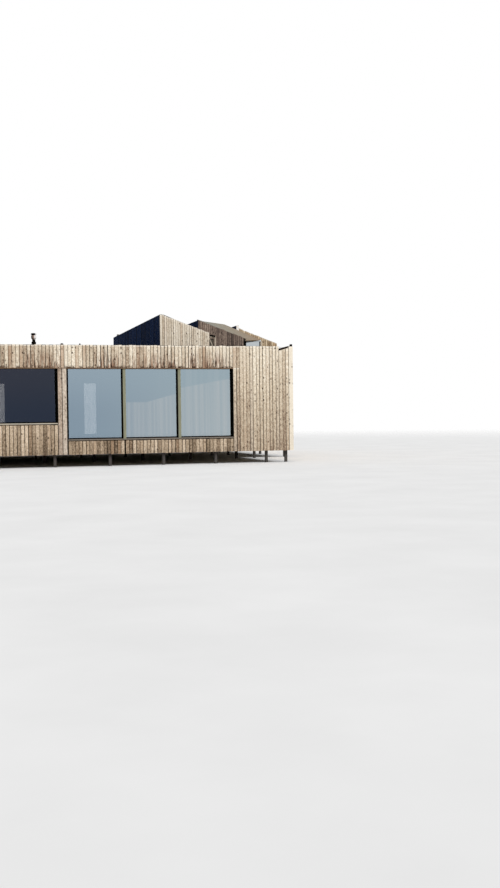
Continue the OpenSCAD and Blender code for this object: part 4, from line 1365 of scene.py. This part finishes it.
def fillSleeve(shape):
    rise = flueTop.z - flueFoot.z
    addLathe(shape, (flueX, flueY, flueFoot.z), [
        (sleeve + 0.09, 0), (sleeve + 0.09, 0.006), (sleeve + 0.02, 0.05), (sleeve + 0.006, 0.16),
        (sleeve + 0.028, 0.162), (sleeve + 0.028, 0.168), (sleeve, 0.20), (sleeve, rise - 0.125),
        (sleeve + 0.005, rise - 0.12), (sleeve + 0.005, rise - 0.108), (sleeve, rise - 0.103),
        (neck + 0.006, rise - 0.085), (neck, rise - 0.08), (neck, rise), (neck - 0.02, rise),
        (neck - 0.02, 0.02)])


def fillCowl(shape):
    top = cowlTop.z - cowlFoot.z - lid
    addLathe(shape, (flueX, flueY, cowlFoot.z), [
        (neck + 0.002, -0.01), (neck + 0.008, 0), (cowl - 0.006, 0.028), (cowl, 0.034),
        (cowl, top - 0.008), (cowl - 0.005, top), (cowl - 0.03, top + 0.002)])


def fillLid(shape):
    foot = cowlTop.z - lid
    addLathe(shape, (flueX, flueY, foot), [
        (cowl - 0.028, -0.002), (cowl - 0.028, 0.022), (cowl + 0.004, 0.022), (cowl + 0.004, 0.066),
        (cowl - 0.002, 0.072), (cowl * 0.6, lid - 0.005), (0, lid)])
    for x, y in circleOf(cowl - 0.012, flue["pins"]):
        pin = [(flueX + x, flueY + y, foot + level) for level in (-0.004, 0.03)]
        addTube(shape, pin, flue["pin"], 6)


sleevePiece = solidPiece("flue_sleeve", fillSleeve, finishes["darkMetal"], 35)
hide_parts("flue_pipe")
cowlPiece = solidPiece("flue_cowl", fillCowl, finishes["flueSteel"], 35)
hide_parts("flue_cap")
solidPiece("flue_lid", fillLid, finishes["flueLid"], 35)

# Two vent pipes: a wide one with a cowl, a slim one with a cap
ventFoot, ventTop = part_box("roof_vents")
ventRadius = (ventTop.y - ventFoot.y) / 2
vents = [{"x": ventFoot.x + ventRadius, "radius": ventRadius, "brim": 0.052},
         {"x": ventTop.x - ventRadius, "radius": 0.02, "brim": 0.026}]


def fillVents(shape):
    rise = ventTop.z - ventFoot.z
    for vent in vents:
        radius, brim = vent["radius"], vent["brim"]
        addLathe(shape, (vent["x"], ventFoot.y + ventRadius, ventFoot.z), [
            (radius + 0.07, 0), (radius + 0.07, 0.005), (radius + 0.012, 0.03), (radius + 0.008, 0.10),
            (radius, 0.105), (radius, rise - 0.075), (brim, rise - 0.060), (brim, rise - 0.022),
            (brim * 0.8, rise - 0.008), (0, rise)])


ventPiece = solidPiece("vent_cowls", fillVents, finishes["ventPlastic"], 35)
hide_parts("roof_vents")

# Small lamp on the front wall's corner: its body, hood and cable, and the lens at its right
lampLow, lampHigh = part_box("corner_lamp")
lamp = {"cable": 0.006, "cableOut": 0.03, "cableUp": 0.03}


def fillLamp(shape):
    x, y, z = (lampLow.x + lampHigh.x) / 2, lampHigh.y + lamp["cableOut"], lampLow.z + lamp["cableUp"]
    addBar(shape, lampLow + Vector((0.006, 0, -0.008)), lampHigh + Vector((0.018, 0, 0.012)), 0.008)
    addBar(shape, (lampLow.x + 0.008, lampLow.y - 0.012, lampHigh.z - 0.014),
           (lampHigh.x - 0.008, lampLow.y + 0.012, lampHigh.z - 0.004))
    addTube(shape, [(x, lampHigh.y - 0.01, z), (x, y, z), (x, y, lampLow.z)], lamp["cable"], 10)


def fillLens(shape):
    addBar(shape, (lampHigh.x - 0.01, lampLow.y + 0.014, lampLow.z + 0.016),
           (lampHigh.x + 0.022, lampHigh.y - 0.014, lampHigh.z - 0.016))


lampPiece = solidPiece("corner_light", fillLamp, finishes["darkMetal"], 35)
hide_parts("corner_lamp")
solidPiece("corner_light_lens", fillLens, finishes["lampLens"])

# Cap on the far end of the first monitor's high edge
ridgeCap = {"length": 0.10, "width": 0.09, "height": 0.07, "from": 0.55, "brim": 0.012}


def fillRidgeCap(shape):
    left, top, brim = monitors[0]["left"], monitors[0]["top"], ridgeCap["brim"]
    end = monitors[0]["back"] - ridgeCap["from"]
    start, right = end - ridgeCap["length"], left + ridgeCap["width"]
    addBar(shape, (left - 0.004, start, top + 0.004), (right, end, top + ridgeCap["height"]), 0.008)
    addBar(shape, (left - brim, start - brim, top - 0.02), (right + brim, end + brim, top + 0.016))


solidPiece("ridge_cap", fillRidgeCap, finishes["cappingMetal"])
print("fittings: hopper, flue, vents and lamp set")
